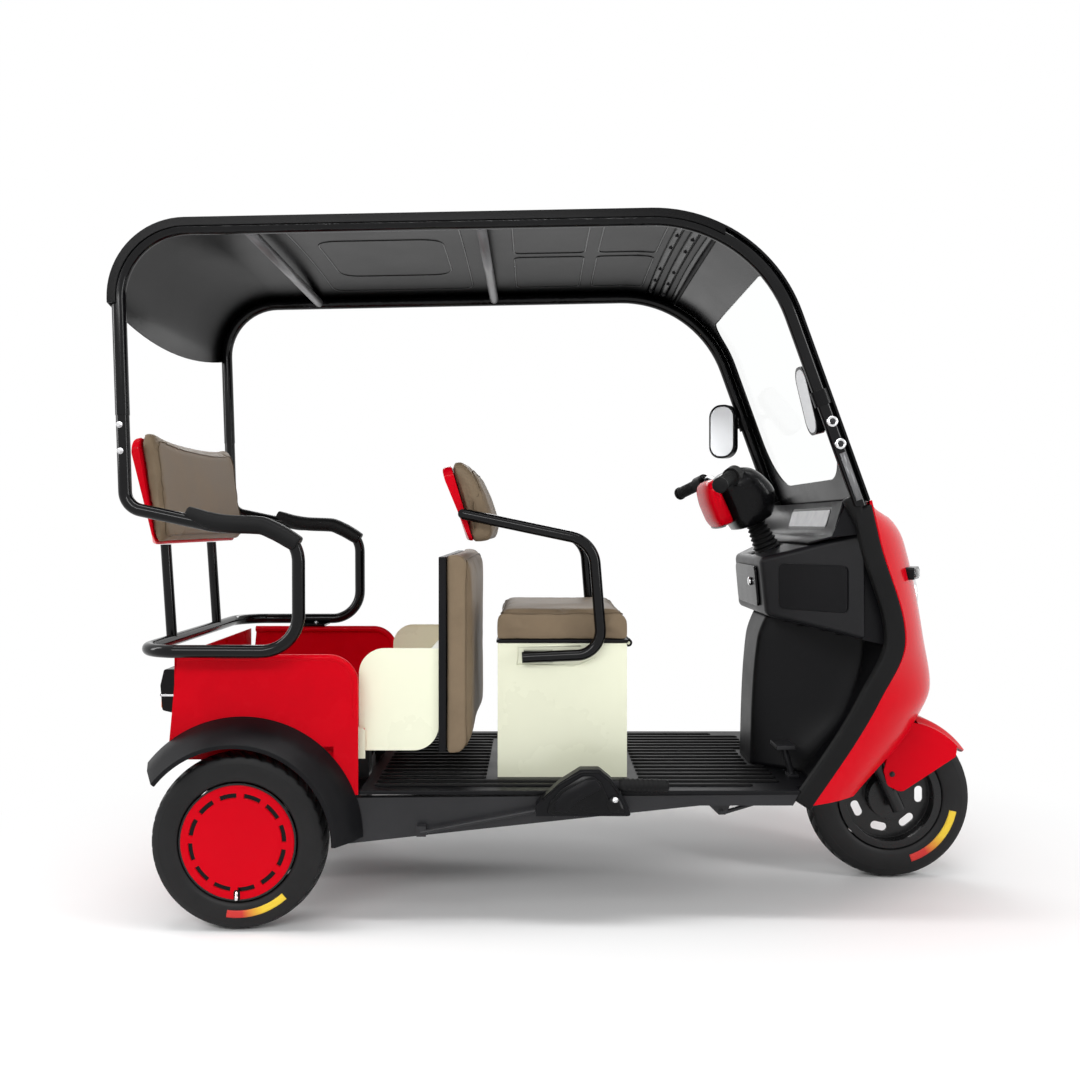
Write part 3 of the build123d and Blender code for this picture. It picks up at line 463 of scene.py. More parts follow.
def rod(radius, start, end, segments=64):
    """Plain cylinder used as a cutter."""
    start, end = Vector(start), Vector(end)
    long = (end - start).length
    profile = [(0, 0.01), (0, radius), (long, radius), (long, 0.01)]
    return lathe("cutter", profile, start, end - start, RED, segments)


def panel(name, outline, y_near, y_far, mat):
    """Flat plate between two Y values; outline is (X, Z) points in order."""
    return stack(name, [[(x, y, z) for x, z in outline] for y in (y_near, y_far)], mat, smooth=False)


def plate(name, centre, right, up, wide, tall, radius, deep, mat):
    """Rounded plate standing on a surface; right and up are its edges' directions."""
    right, up = Vector(right).normalized(), Vector(up).normalized()
    out = right.cross(up)
    edge = rounded_path([(a, b, 0) for a, b in rectangle(wide, tall)], radius, closed=True, step=6)
    levels = [(1.0, 0.0), (1.0, deep * 0.75), (1 - min(deep * 0.25, 2) * 2 / min(wide, tall), deep)]
    rings = [[Vector(centre) + right * p.x * size + up * p.y * size + out * height for p in edge]
             for size, height in levels]
    return even_shade(stack(name, rings, mat))


def side_plate(name, outline, radius, y, deep, mat):
    """Rounded plate standing out of a face at y towards the near side; outline is (X, Z) corners."""
    edge = rounded_path(side_line(outline), radius, closed=True, step=5)
    middle = sum(edge, Vector()) / len(edge)
    rings = [[middle + (p - middle) * size + Vector((0, y - out, 0)) for p in edge]
             for size, out in ((1.0, 0.0), (1.0, deep * 0.6), (0.96, deep))]
    return even_shade(stack(name, rings, mat))


def bolt(at, axis, radius=6.0, mat=STEEL):
    """Hex bolt head on a washer; at is its seat, and axis points out of the surface."""
    r = radius
    disc = [(-0.4, 0.2 * r), (-0.4, 1.5 * r), (1.2, 1.5 * r), (1.6, 1.35 * r), (1.6, 0.2 * r)]
    hexagon = [(1, 0.3 * r), (1, 1.1 * r), (0.75 * r + 1, 1.1 * r), (r + 1, 0.85 * r), (r + 1, 0.3 * r)]
    washer = lathe("washer", disc, at, axis, mat, 24)
    head = lathe("head", hexagon, at, axis, mat, 6)
    for face in head.data.polygons:
        face.use_smooth = False
    return [washer, head]


# Camera at the photograph's viewpoint: picture width, focal length and offset in pixels, place in metres

PICTURE, FOCAL, OFFSET = 1080, 1014, (5, -16)
camera_data = bpy.data.cameras.new("camera")
camera_data.sensor_width = 36.0
camera_data.lens = FOCAL / PICTURE * camera_data.sensor_width
camera_data.shift_x, camera_data.shift_y = (value / PICTURE for value in OFFSET)
camera = add_object("camera", camera_data)
camera.location = (-0.084, -2.74, 0.945)
camera.rotation_euler = (math.radians(90), 0, 0)
SCENE.camera = camera
SCENE.view_settings.view_transform = "Standard"


# White surround, and a floor that keeps the shadow near the vehicle and is plain white further out

def combined(tree, operation, first, second):
    return add_node(tree, "Math", {0: first, 1: second}, operation=operation).outputs[0]


def shown_rays(tree):
    """Value that is 1 for the rays that show the background: seen, through glass, or in a reflection."""
    rays = add_node(tree, "LightPath", {})
    value = rays.outputs["Is Camera Ray"]
    for kind in ("Is Transmission Ray", "Is Glossy Ray"):
        value = combined(tree, "MAXIMUM", value, rays.outputs[kind])
    return value


def mixed(tree, share, first, second):
    """Second shader where share is 1, first where it is 0."""
    return add_node(tree, "MixShader", {0: share, 1: first.outputs[0], 2: second.outputs[0]}).outputs[0]


WHITE = (1, 1, 1, 1)
world = bpy.data.worlds.new("surround")
SCENE.world = world
world.use_nodes = True
sky = world.node_tree
sky_light = sky.nodes["Background"]
feed(sky, sky_light, {"Color": WHITE, "Strength": 0.42})
sky_white = add_node(sky, "Background", {"Color": WHITE, "Strength": 1.0})
feed(sky, sky.nodes["World Output"], {"Surface": mixed(sky, shown_rays(sky), sky_light, sky_white)})

FLOOR_SIZE, FLOOR_Z = 60000, -0.5
SHADOW_NEAR, SHADOW_FAR = 0.9, 1.9  # metres from the middle, where the shadow fades out
floor = mesh_object("floor", [(x, y, FLOOR_Z) for x, y in rectangle(FLOOR_SIZE, FLOOR_SIZE)], [(0, 1, 2, 3)],
                    smooth=False)
floor_mat, tree, floor_shader, here = new_material("floor_white")
feed(tree, floor_shader, {"Base Color": (0.93, 0.93, 0.93, 1), "Roughness": 0.9, "Specular IOR Level": 0.1})
white = add_node(tree, "Emission", {"Strength": 1.0})
distance = add_node(tree, "VectorMath", {0: here}, operation="LENGTH")
fade = add_node(tree, "MapRange", {"Value": distance.outputs["Value"], "From Min": SHADOW_NEAR,
                                   "From Max": SHADOW_FAR}, interpolation_type="SMOOTHSTEP")
floor_share = combined(tree, "MULTIPLY", shown_rays(tree), fade.outputs["Result"])
feed(tree, tree.nodes["Material Output"], {"Surface": mixed(tree, floor_share, floor_shader, white)})
floor.data.materials.append(floor_mat)

# Lamps: name, place, aim, width, height in metres, watts
LAMPS = (
    ("top", (-0.2, -0.7, 3.5), (-0.1, 0, 0.8), 3.6, 0.5, 62),
    ("near_side", (-1.0, -3.6, 2.4), (-0.1, 0, 0.7), 3.0, 0.5, 56),
    ("front", (3.2, -1.8, 1.8), (0.4, 0, 0.8), 0.5, 2.0, 34),
    ("far_side", (-0.6, 3.2, 2.6), (0, 0, 0.8), 3.0, 0.6, 40),
    ("back", (-3.2, -0.6, 2.0), (-0.4, 0, 0.7), 0.5, 1.8, 30),
)
for lamp_name, at, aim, wide, high, watts in LAMPS:
    lamp_data = bpy.data.lights.new(lamp_name, "AREA")
    lamp_data.shape = "RECTANGLE"
    lamp_data.size = wide
    lamp_data.size_y = high
    lamp_data.energy = watts
    lamp = add_object(lamp_name, lamp_data)
    lamp.location = at
    lamp.rotation_euler = (Vector(aim) - Vector(at)).to_track_quat("-Z", "Y").to_euler()


# Finish of the CAD pieces that stay: node, material, edge rounding
CARRIED = (
    ("main_frame", FRAME, 2.0), ("floor_board", PLASTIC, 2.0), ("rear_fenders", PLASTIC, 1.5),
    ("roof_panel", LINING, 1.5), ("screen_frame", GLOSS_PLASTIC, 1.5), ("mirror_shells", GLOSS_PLASTIC, 3.0),
    ("rear_axle", FRAME, 1.5), ("drive_motor", CAST, 2.0), ("rear_suspension", TUBE, 1.0),
    ("arm_frame", TUBE, 1.0), ("canopy_frame", TUBE, 1.0), ("driver_arms", TUBE, 2.0),
    ("box_floor", RED_PANEL, 1.5), ("box_side_left", RED_PANEL, 1.5), ("box_side_right", RED_PANEL, 1.5),
    ("box_panel", RED_PANEL, 1.0), ("tail_lamps", GLOSS_PLASTIC, 2.0), ("screen_glass", GLASS, 0.0),
    ("mirror_glass", MIRROR, 0.0), ("turn_signals", GLOSS_PLASTIC, 4.0), ("driver_seat_box", CREAM, 4.0),
    ("battery_pack", CASE, 3.0), ("hand_brake", PLASTIC, 2.0), ("brake_rod", FRAME, 0.5),
    ("brake_pedal", FRAME, 2.0), ("fork", RIM, 1.0), ("handlebar", TUBE, 1.0), ("hand_grips", RUBBER, 2.0),
    ("front_rim", RIM, 1.5), ("rear_rim_left", RIM, 1.0), ("rear_rim_right", RIM, 1.0),
    ("rear_seat_plate", PLASTIC, 2.0), ("driver_seat_tray", PLASTIC, 2.0),
)
for node, mat, width in CARRIED:
    piece = NODES[node]
    piece.data.materials.clear()
    piece.data.materials.append(mat)
    if width:
        bevel(piece, width, weld=True)


# Cushions: foam under vinyl, blown up by cloth pressure, then seamed

SIM_FRAMES = 20
SMOOTH_TURNS = 6
SEAT_GAP = 0.4  # between a cushion and the face that it lies against
SEAM_SPREAD = 8  # half width of the dent along a seam
SEAM_STEP = 12
SEAT_SEAM, BACK_SEAM = (1.8, 1.5), (1.4, 1.2)  # depth of the dent, radius of the piping


def swell(obj, cap):
    """Cloth pressure on a closed mesh; no point moves further than cap, in metres."""
    start = [v.co.copy() for v in obj.data.vertices]
    cloth = obj.modifiers.new("cloth", "CLOTH")
    settings = cloth.settings
    settings.quality = 4
    settings.mass = 0.3
    settings.tension_stiffness = 20
    settings.compression_stiffness = 20
    settings.bending_stiffness = 1.5
    settings.use_pressure = True
    settings.uniform_pressure_force = 4.0
    settings.effector_weights.gravity = 0.0
    cloth.collision_settings.use_collision = False
    SCENE.frame_start = 1
    SCENE.frame_end = SIM_FRAMES
    for step in range(1, SIM_FRAMES + 1):
        SCENE.frame_set(step)
    depsgraph = bpy.context.evaluated_depsgraph_get()
    after = [v.co.copy() for v in obj.evaluated_get(depsgraph).data.vertices]
    obj.modifiers.remove(cloth)
    SCENE.frame_set(1)
    for vert, rest, moved in zip(obj.data.vertices, start, after):
        shift = moved - rest
        if shift.length > cap:
            shift = shift.normalized() * cap
        vert.co = rest + shift


def cushion(name, source, voxel, inset, cap, rest_plane, grow):
    """Closed cushion from a plain pad, grown by so much on each side along X, Y and Z before it swells.
    rest_plane is (point, normal) of the face that it lies against."""
    obj = welded_copy(name, source)
    remesh = obj.modifiers.new("remesh", "REMESH")
    remesh.mode = "VOXEL"
    remesh.voxel_size = voxel * MM
    voxels = bake(obj).data
    for axis in range(3):
        low = min(vert.co[axis] for vert in voxels.vertices)
        high = max(vert.co[axis] for vert in voxels.vertices)
        for vert in voxels.vertices:
            vert.co[axis] += grow[axis] * MM * (2 * vert.co[axis] - low - high) / (high - low)
    with editing(voxels) as work:
        for turn in range(SMOOTH_TURNS):
            bmesh.ops.smooth_vert(work, verts=work.verts, factor=0.5, use_axis_x=True, use_axis_y=True,
                                  use_axis_z=True)
        work.normal_update()
        for vert in work.verts:
            vert.co -= vert.normal * (inset * MM)
    swell(obj, cap * MM)
    point, normal = Vector(rest_plane[0]) * MM, Vector(rest_plane[1]).normalized()
    for vert in voxels.vertices:
        below = (vert.co - point).dot(normal) - SEAT_GAP * MM
        if below < 0:
            vert.co -= normal * below
    voxels.materials.clear()
    voxels.materials.append(VINYL)
    return obj


def seam(obj, name, path, body, depth, thick):
    """Piping pressed into a cushion along a closed path near its surface."""
    tree = surface_tree(obj)
    line = [tree.find_nearest(p * MM)[0] for p in path]
    near = KDTree(len(line))
    for i, p in enumerate(line):
        near.insert(p, i)
    near.balance()
    spread = SEAM_SPREAD * MM
    normals = [v.normal.copy() for v in obj.data.vertices]
    for vert, normal in zip(obj.data.vertices, normals):
        gap = near.find(vert.co)[2]
        if gap < spread * 3:
            vert.co -= normal * (depth * MM * math.exp(-((gap / spread) ** 2)))
    cord = sweep(name, [p / MM for p in line], ring_section(thick, 8), PIPING, closed=True, up=(0.31, 0.17, 0.94))
    place(cord, body, slot="brown_vinyl")


def upholster(pad, seam_name, path, body, node, depth, thick, fill):
    """Seam, smooth skin, and the cushion set on its body in place of the plain pad."""
    seam(pad, seam_name, path, body, depth, thick)
    smooth = pad.modifiers.new("subdivision", "SUBSURF")
    smooth.levels = 1
    smooth.render_levels = 1
    for face in pad.data.polygons:
        face.use_smooth = True
    place(pad, body, node, slot="brown_vinyl")


def loop_yz(x, half, low, high, radius):
    """Rounded rectangle across the vehicle at x."""
    corners = [(x, -half, low), (x, half, low), (x, half, high), (x, -half, high)]
    return even_steps(rounded_path(corners, radius, closed=True), SEAM_STEP)


rear_pad = cushion("rear_cushion_soft", NODES["rear_cushion"], 8, 6, 12, ((-298, 0, 0), (1, 0, 0)), (4, 9, 11))
rear_edge = loop_yz(-251, 294, 404, 859, 32)
upholster(rear_pad, "rear_cushion_seam", rear_edge, "rear_seat", "rear_cushion", *SEAT_SEAM, 0.75)

seat_pad = cushion("driver_cushion_soft", NODES["driver_cushion"], 6, 5, 10, ((0, 0, 657), (0, 0, 1)),
                   (13, 12, 6))
seat_corners = [(-182, -219, 730), (150, -219, 730), (150, 219, 730), (-182, 219, 730)]
seat_edge = even_steps(rounded_path(seat_corners, 42, closed=True), SEAM_STEP)
upholster(seat_pad, "driver_cushion_seam", seat_edge, "driver_lid", "driver_cushion", *SEAT_SEAM, 0.75)

BACK_SPANS = 40  # rows of a backrest on each side of its middle
CURL_SPAN = 130  # part of a backrest's width over which its end curls in
LOW_CORNER = 0.8  # size of a backrest's lower corners, as a share of the upper ones


def back_form(profile, bends, half, corner, dip, taper, curl=0.0):
    """Side profile (X, Z), its back edge first and last, carried across as a closed form with rounded
    corners, a top edge that dips in the middle, sides that draw in upwards, and a lower back edge that
    curls in at the ends. Returns the form and the function that puts a point of the plain slab on it."""
    loop = rounded_path(side_line(profile), bends, closed=True, step=6)
    low = min(p.z for p in loop)
    high = max(p.z for p in loop)
    (top_x, top_z), (foot_x, foot_z) = profile[0], profile[-1]
    lean = (top_x - foot_x) / (top_z - foot_z)

    def ahead(p):
        return p.x - foot_x - lean * (p.z - foot_z)

    deep = max(ahead(p) for p in loop)

    def fit(p):
        side = min(half, abs(p.y))
        over = max(0.0, side - half + corner)
        cut = corner - math.sqrt(max(0.0, corner ** 2 - over ** 2))
        share = (p.z - low) / (high - low)
        top = high - cut - dip * (1 - (side / half) ** 2)
        z = low + LOW_CORNER * cut + share * (top - low - LOW_CORNER * cut)
        behind = 1 - ahead(p) / deep
        x = p.x + lean * (z - p.z)
        x += curl * behind * (1 - share) ** 4 * ease((side - half + CURL_SPAN) / CURL_SPAN)
        return Vector((x, p.y * (1 - taper * share), z))

    verts = []
    for k in range(-BACK_SPANS, BACK_SPANS + 1):
        y = half * math.sin(math.pi / 2 * k / BACK_SPANS)
        verts += [fit(Vector((p.x, y, p.z))) for p in loop]
    n = len(loop)
    faces = quads(2 * BACK_SPANS + 1, n, False, True)
    faces += [tuple(range(n)), tuple(2 * BACK_SPANS * n + k for k in range(n))]
    return mesh_object("back_form", verts, faces, RED), fit


# Backrests: name, half width, shell profile, extra dip of the shell, pad profile and bends, corner radius, dip,
# taper, curl
BACKRESTS = (
    ("rear_back", 330, ((-1050, 1157), (-1032, 1161), (-990, 896), (-1036, 896)), 20,
     ((-1031.6, 1163), (-1000, 1165), (-968, 908), (-989.6, 898)), (3, 20, 20, 3), 38, 12, 0.035, 46),
    ("driver_back", 205, ((-320, 1088), (-296, 1094), (-241, 903), (-262, 903)), 4,
     ((-295.6, 1097), (-270, 1099), (-241, 1070), (-216, 1020), (-199, 973), (-190, 930), (-198, 908),
      (-240.6, 903)), (3, 12, 16, 16, 16, 14, 12, 3), 30, 5, 0.0, 14),
)
SHELL_BENDS = (9, 5, 5, 9)
for name, half, shell_line, shell_dip, pad_line, pad_bends, corner, dip, taper, curl in BACKRESTS:
    backing, fit = back_form(shell_line, SHELL_BENDS, half, corner, dip + shell_dip, taper, curl)
    backing.name = f"{name}_shell_smooth"
    bevel(backing, 4.0, 3, 40)
    place(backing, "chassis", f"{name}_shell", slot="red_paint")
    plain, fit = back_form(pad_line, pad_bends, half - 2, corner, dip, taper)
    (top_x, top_z), (foot_x, foot_z) = pad_line[0], pad_line[-1]
    against = ((top_x, 0, top_z), (top_z - foot_z, 0, foot_x - top_x))
    pad = cushion(f"{name}_soft", plain, 5, 4, 9, against, (2, 7, 11))
    discard(plain)
    face = loop_yz(pad_line[2][0] + 10, half - 14, foot_z + 12, pad_line[1][1] - 6, 26)
    upholster(pad, f"{name}_seam", [fit(p) for p in face], "chassis", f"{name}_pad", *BACK_SEAM, 0.65)


# Tyres with tread, coloured sidewall band

TREAD_SHARE = 0.84  # of the tyre's half width
CROWN_FALL = 8.5  # of the tread's edge below its middle
CROWN_ROWS = 13
TYRE_TURNS = 288
LUG_TURNS = 8
GROOVE, LUG_GAP = 4.0, 4.5  # depth of the middle groove and of the gaps between lugs
GROOVE_LANE, LUG_LANE = 0.07, 0.2  # where the groove ends and the lugs begin, as shares of the tread's half width
LUG_SWEEP, LUG_STAGGER, GAP_SHARE = 0.9, 0.5, 0.26  # in lug pitches


def tyre_profile(half, flange, radius):
    """Outer half profile as (sideways, radius), bead to crown."""
    tall = radius - flange
    side = [(2.2, 0.2), (0.4, 0.42), (1.2, 0.6), (1.8, 0.61), (2.0, 0.66), (1.6, 0.67), (4.2, 0.8)]
    return ([(half - 12, flange + 1.5), (half - 6, flange + 5)]
            + [(half - inset, flange + tall * share) for inset, share in side]
            + [(half * TREAD_SHARE, radius - CROWN_FALL)])


def tread_drop(y, lane, turn):
    """Depth of the tread's gaps; lane is 0 in the middle and 1 at the edge."""
    if lane < GROOVE_LANE:
        return GROOVE
    lead = LUG_SWEEP * lane + (LUG_STAGGER if y > 0 else 0.0)
    if lane > LUG_LANE and (turn / LUG_TURNS + lead) % 1.0 < GAP_SHARE:
        return LUG_GAP
    return 0.0


def wheel_point(centre, y, radius, angle):
    return (centre[0] + radius * math.cos(angle), y, centre[2] + radius * math.sin(angle))


def make_tyre(name, node, body, centre, half, flange, radius):
    tread_half = half * TREAD_SHARE
    outer = [(y, r, False) for y, r in tyre_profile(half, flange, radius)]
    for k in range(1, CROWN_ROWS + 1):
        y = tread_half * (1 - k / CROWN_ROWS)
        outer.append((y, radius - CROWN_FALL * (y / tread_half) ** 2.2, True))
    outer += [(-y, r, tread) for y, r, tread in reversed(outer[:-1])]
    inner = [(half - 17, flange + 6), (half - 9, flange + 28), (half * 0.6, radius - 18)]
    ring = outer + [(-y, r, False) for y, r in inner] + [(y, r, False) for y, r in reversed(inner)]
    verts = []
    for k in range(TYRE_TURNS):
        for y, r, tread in ring:
            drop = tread_drop(y, abs(y) / tread_half, k) if tread else 0.0
            verts.append(wheel_point(centre, centre[1] + y, r - drop, 2 * math.pi * k / TYRE_TURNS))
    obj = mesh_object(name, verts, quads(TYRE_TURNS, len(ring), True, True), TYRE)
    place(even_shade(obj, keep_sharp=True), body, node, slot="tyre")


BAND = surface("sidewall_band", (0.8, 0.5, 0.02), 0.5, vary=0.05, bump=0.0001, bump_scale=700)
BAND_STEPS, BAND_ROWS = 40, 4
BAND_LOW, BAND_HIGH = 0.28, 0.52  # of the sidewall's height
BAND_LIFT, BAND_THICK = 0.35, 0.5
band_tree = BAND.node_tree
band_tint = add_node(band_tree, "Attribute", {}, attribute_name="tint").outputs["Fac"]
band_colour = ramp(band_tree, band_tint, (0.25, (0.6, 0.02, 0.015, 1)), (0.6, (0.85, 0.6, 0.03, 1)))
feed(band_tree, band_tree.nodes["Principled BSDF"], {"Base Color": band_colour})


def sidewall_band(name, body, centre, half, flange, radius, out, start, end):
    """Plain painted arc on the sidewall, red at one end and yellow at the other."""
    profile = tyre_profile(half, flange, radius)
    low, high = (flange + (radius - flange) * share for share in (BAND_LOW, BAND_HIGH))

    def reach(r):
        for (y0, r0), (y1, r1) in zip(profile, profile[1:]):
            if r0 <= r <= r1:
                return y0 + (y1 - y0) * (r - r0) / (r1 - r0)
        return half

    verts, tint = [], []
    for k in range(BAND_STEPS + 1):
        t = k / BAND_STEPS
        for i in range(BAND_ROWS + 1):
            r = low + (high - low) * i / BAND_ROWS
            y = centre[1] + out * (reach(r) + BAND_LIFT)
            verts.append(wheel_point(centre, y, r, math.radians(start + (end - start) * t)))
            tint.append(t)
    obj = mesh_object(name, verts, quads(BAND_STEPS + 1, BAND_ROWS + 1, False, False), BAND)
    obj.data.attributes.new("tint", "FLOAT", "POINT").data.foreach_set("value", tint)
    thick = obj.modifiers.new("thick", "SOLIDIFY")
    thick.thickness = BAND_THICK * MM
    thick.offset = 0
    place(obj, body, slot="tyre")


# Wheels: tyre, body, centre, half width, outer radius, start and end of the band in degrees, sides with a band
REAR_LEFT = REAR_AXLE
REAR_RIGHT = (REAR_AXLE[0], -REAR_AXLE[1], REAR_AXLE[2])
WHEELS = (
    ("front_tyre", "front_wheel", FRONT_AXLE, 42, 216, -72, -12, (-1, 1)),
    ("rear_tyre_left", "rear_wheel_left", REAR_LEFT, 38, 206, -98, -48, (1,)),
    ("rear_tyre_right", "rear_wheel_right", REAR_RIGHT, 38, 206, -98, -48, (-1,)),
)
for node, body, centre, half, radius, start, end, sides in WHEELS:
    make_tyre(node + "_tread", node, body, centre, half, RIM_RADIUS, radius)
    for side in sides:
        sidewall_band(f"{node}_band_{TAGS[side]}", body, centre, half, RIM_RADIUS, radius, side, start, end)


# Wheel covers with slots: rings as (radius, rise), and the ring inside the slots

COVER_RINGS = ((12, 0), (40, -0.4), (70, -1.2), (92, -2.2), (101, -2.6), (103.5, -2.8), (114.5, -3.0),
               (117, -3.0), (124, -3.0), (131, -4.0), (134.5, -8.5))
SLOT_RING = 5
SLOTS, SLOT_TURNS, SLOT_BRIDGE, SLOT_DEPTH = 12, 20, 6, 5


def cover_faces(node, out):
    """Y of a wheel cover's outer face and of its back."""
    low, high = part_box(node)
    return (high.y / MM, low.y / MM) if out > 0 else (low.y / MM, high.y / MM)


def wheel_cover(name, node, body, centre, out):
    """Dished disc with a ring of slots."""
    face_y, back_y = cover_faces(node, out)
    turns = SLOTS * SLOT_TURNS
    n = len(COVER_RINGS)
    verts = [(centre[0], face_y, centre[2])]
    faces, dark = [], []
    for k in range(turns):
        verts += [wheel_point(centre, face_y + out * rise, r, 2 * math.pi * (k + 0.5) / turns)
                  for r, rise in COVER_RINGS]
        near, far = 1 + k * n, 1 + (k + 1) % turns * n
        faces.append((0, near, far))
        for i in range(n - 1):
            if i == SLOT_RING and k % SLOT_TURNS < SLOT_TURNS - SLOT_BRIDGE:
                dark.append(len(faces))
            faces.append((near + i, near + i + 1, far + i + 1, far + i))
    obj = mesh_object(name, verts, faces, RED, GLOSS_PLASTIC)
    with editing(obj.data) as work:
        work.faces.ensure_lookup_table()
        picked = [work.faces[i] for i in dark]
        made = bmesh.ops.extrude_face_region(work, geom=picked)["geom"]
        moved = [g for g in made if isinstance(g, bmesh.types.BMVert)]
        bmesh.ops.translate(work, verts=moved, vec=(0, -out * SLOT_DEPTH * MM, 0))
        bmesh.ops.delete(work, geom=picked, context="FACES")
        for g in made:
            if isinstance(g, bmesh.types.BMFace):
                g.material_index = 1
        wall = bmesh.ops.extrude_edge_only(work, edges=[e for e in work.edges if e.is_boundary])
        for g in wall["geom"]:
            if isinstance(g, bmesh.types.BMVert):
                g.co.y = back_y * MM
        bmesh.ops.holes_fill(work, edges=[e for e in work.edges if e.is_boundary])
        bmesh.ops.recalc_face_normals(work, faces=work.faces)
    bevel(obj, 1.2, 2, 40)
    place(obj, body, node, slot="red_paint")


for hand, centre, out in (("left", REAR_LEFT, 1), ("right", REAR_RIGHT, -1)):
    wheel_cover(f"wheel_cover_{hand}_slotted", f"wheel_cover_{hand}", f"rear_wheel_{hand}", centre, out)


# Body panels rebuilt smooth from the rows that the solids are lofted through. Shell: Z, rim X, half width, nose X
BACKWARD, FORWARD, INWARD = (-1, 0, 0), (1, 0, 0), (-1, 0, -1)
SHELL_ROWS = ((280, 573, 346, 800), (453, 681, 365, 921), (532, 720.5, 377, 952), (674, 776, 394, 920),
              (900, 714, 407, 874), (955, 700.5, 411, 838), (1000, 690, 412, 724))
SHELL_STEPS, SHELL_SPANS = 56, 32
ARCH_HALF, ARCH_TALL, ARCH_Z = 262, 215, 262
LAMP_AT, LAMP_HOLE = (884, 0, 752), 72.5


def shell_radius(rim, half, nose):
    """Radius of the arc across the shell at one height."""
    return (half ** 2 + (nose - rim) ** 2) / (2 * (nose - rim))


shell = []
for z, rim, half, nose in smooth_rows(SHELL_ROWS, SHELL_STEPS):
    radius = shell_radius(rim, half, nose)
    reach = math.asin(half / radius) if nose - rim < half else math.pi / 2
    turns = [reach * k / SHELL_SPANS for k in range(-SHELL_SPANS, SHELL_SPANS + 1)]
    shell.append([(nose - radius + radius * math.cos(a), radius * math.sin(a), z) for a in turns])
front = thicken(grid("front_shell_smooth", shell, RED), 6, BACKWARD)
arch = rod(ARCH_HALF, (600, 0, ARCH_Z), (1100, 0, ARCH_Z), 96)
for vert in arch.data.vertices:
    vert.co.z = ARCH_Z * MM + (vert.co.z - ARCH_Z * MM) * ARCH_TALL / ARCH_HALF
carve(front, arch, rod(LAMP_HOLE, (834, 0, 752), (954, 0, 752)))
bevel(front, 2.0, 2, 50)
place(front, "chassis", "front_shell", slot="red_paint")

# Trim along the shell's rim: Z, X, Y
TRIM_ROWS = tuple((z, rim - 22.8, half - 14) for z, rim, half, nose in SHELL_ROWS[:-1]) + ((985.7, 670.5, 398),)
trim_section = rounded_path([(a, b, 0) for a, b in rectangle(45, 28)], 8, closed=True, step=4)
strips = [sweep("strip", [(x, side * y, z) for z, x, y in smooth_rows(TRIM_ROWS, 60)],
                [(p.x, p.y) for p in trim_section], RUBBER, up=(0, 1, 0)) for side in SIDES]
place(join("shell_trim_smooth", strips), "chassis", "shell_trim", slot="black_rubber")

# Leg shield: Z, X at the sides, half width, X of the foot wells, X of the middle hump, half width of the hump
SHIELD_ROWS = ((315.6, 560, 322, 590, 482, 90), (480, 668, 342, 705, 487, 92), (640, 742, 362, 745, 500, 96),
               (760, 742, 369, 745, 548, 101))
SHIELD_SPANS = 60
HUMP_ROUND, HUMP_RAMP, SIDE_RAMP = 26, 112, 60  # how far inside its edge the hump bends, widths of the two ramps
shield = []
for z, outer_x, outer, well_x, hump_x, hump in smooth_rows(SHIELD_ROWS, 44):
    row = []
    for k in range(-SHIELD_SPANS, SHIELD_SPANS + 1):
        y = outer * k / SHIELD_SPANS
        x = hump_x + (well_x - hump_x) * ease((abs(y) - hump + HUMP_ROUND) / HUMP_RAMP)
        x += (outer_x - well_x) * ease((abs(y) - outer + SIDE_RAMP) / SIDE_RAMP)
        row.append((x, y, z))
    shield.append(row)
leg = grid("leg_shield_smooth", shield, PLASTIC)
with editing(leg.data) as work:
    bmesh.ops.bisect_plane(work, geom=work.verts[:] + work.edges[:] + work.faces[:], clear_outer=True,
                           plane_co=Vector((500, 0, 713.5)) * MM, plane_no=Vector((65, 0, 290)).normalized())
place(thicken(leg, 5, FORWARD), "chassis", "leg_shield", slot="dark_plastic")

STEER_FOOT = Vector((848.44, 0, 209.37))
STEER_LEAN = math.radians(24.5)
STEER_AXIS = Vector((-math.sin(STEER_LEAN), 0, math.cos(STEER_LEAN)))


def steer_point(along, forward=0.0, y=0.0):
    """Point from the steering axis: along it, forward of it, and sideways."""
    ahead = Vector((STEER_AXIS.z, 0, -STEER_AXIS.x))
    return STEER_FOOT + STEER_AXIS * along + ahead * forward + Vector((0, y, 0))


# Dash: a wedge that widens forwards, with a hole for the column
DASH_SIDE = Vector((201, 214, 0))  # direction of its left side, seen from above
DASH_LINE = ((487, 858), (640, 912), (689, 930), (689, 671.5), (500, 712.5))
DASH_BACK, DASH_BACK_HALF = 488, 160
COLUMN_HOLE = 46


def dash_half(x):
    return DASH_BACK_HALF + (x - DASH_BACK) * DASH_SIDE.y / DASH_SIDE.x


# The wedge takes the lighter copy of the dark plastic, painted light of its lit side
wedge = stack("dash_smooth", [[(x, side * dash_half(x), z) for x, z in DASH_LINE] for side in (-1, 1)], DASH_PAINTED_LIGHT)
bake(bevel(wedge, 13, 4, 20))
carve(wedge, rod(COLUMN_HOLE, steer_point(560), steer_point(830)))
for face in wedge.data.polygons:
    face.use_smooth = True
place(even_shade(wedge), "chassis", "dash", slot="dark_plastic")

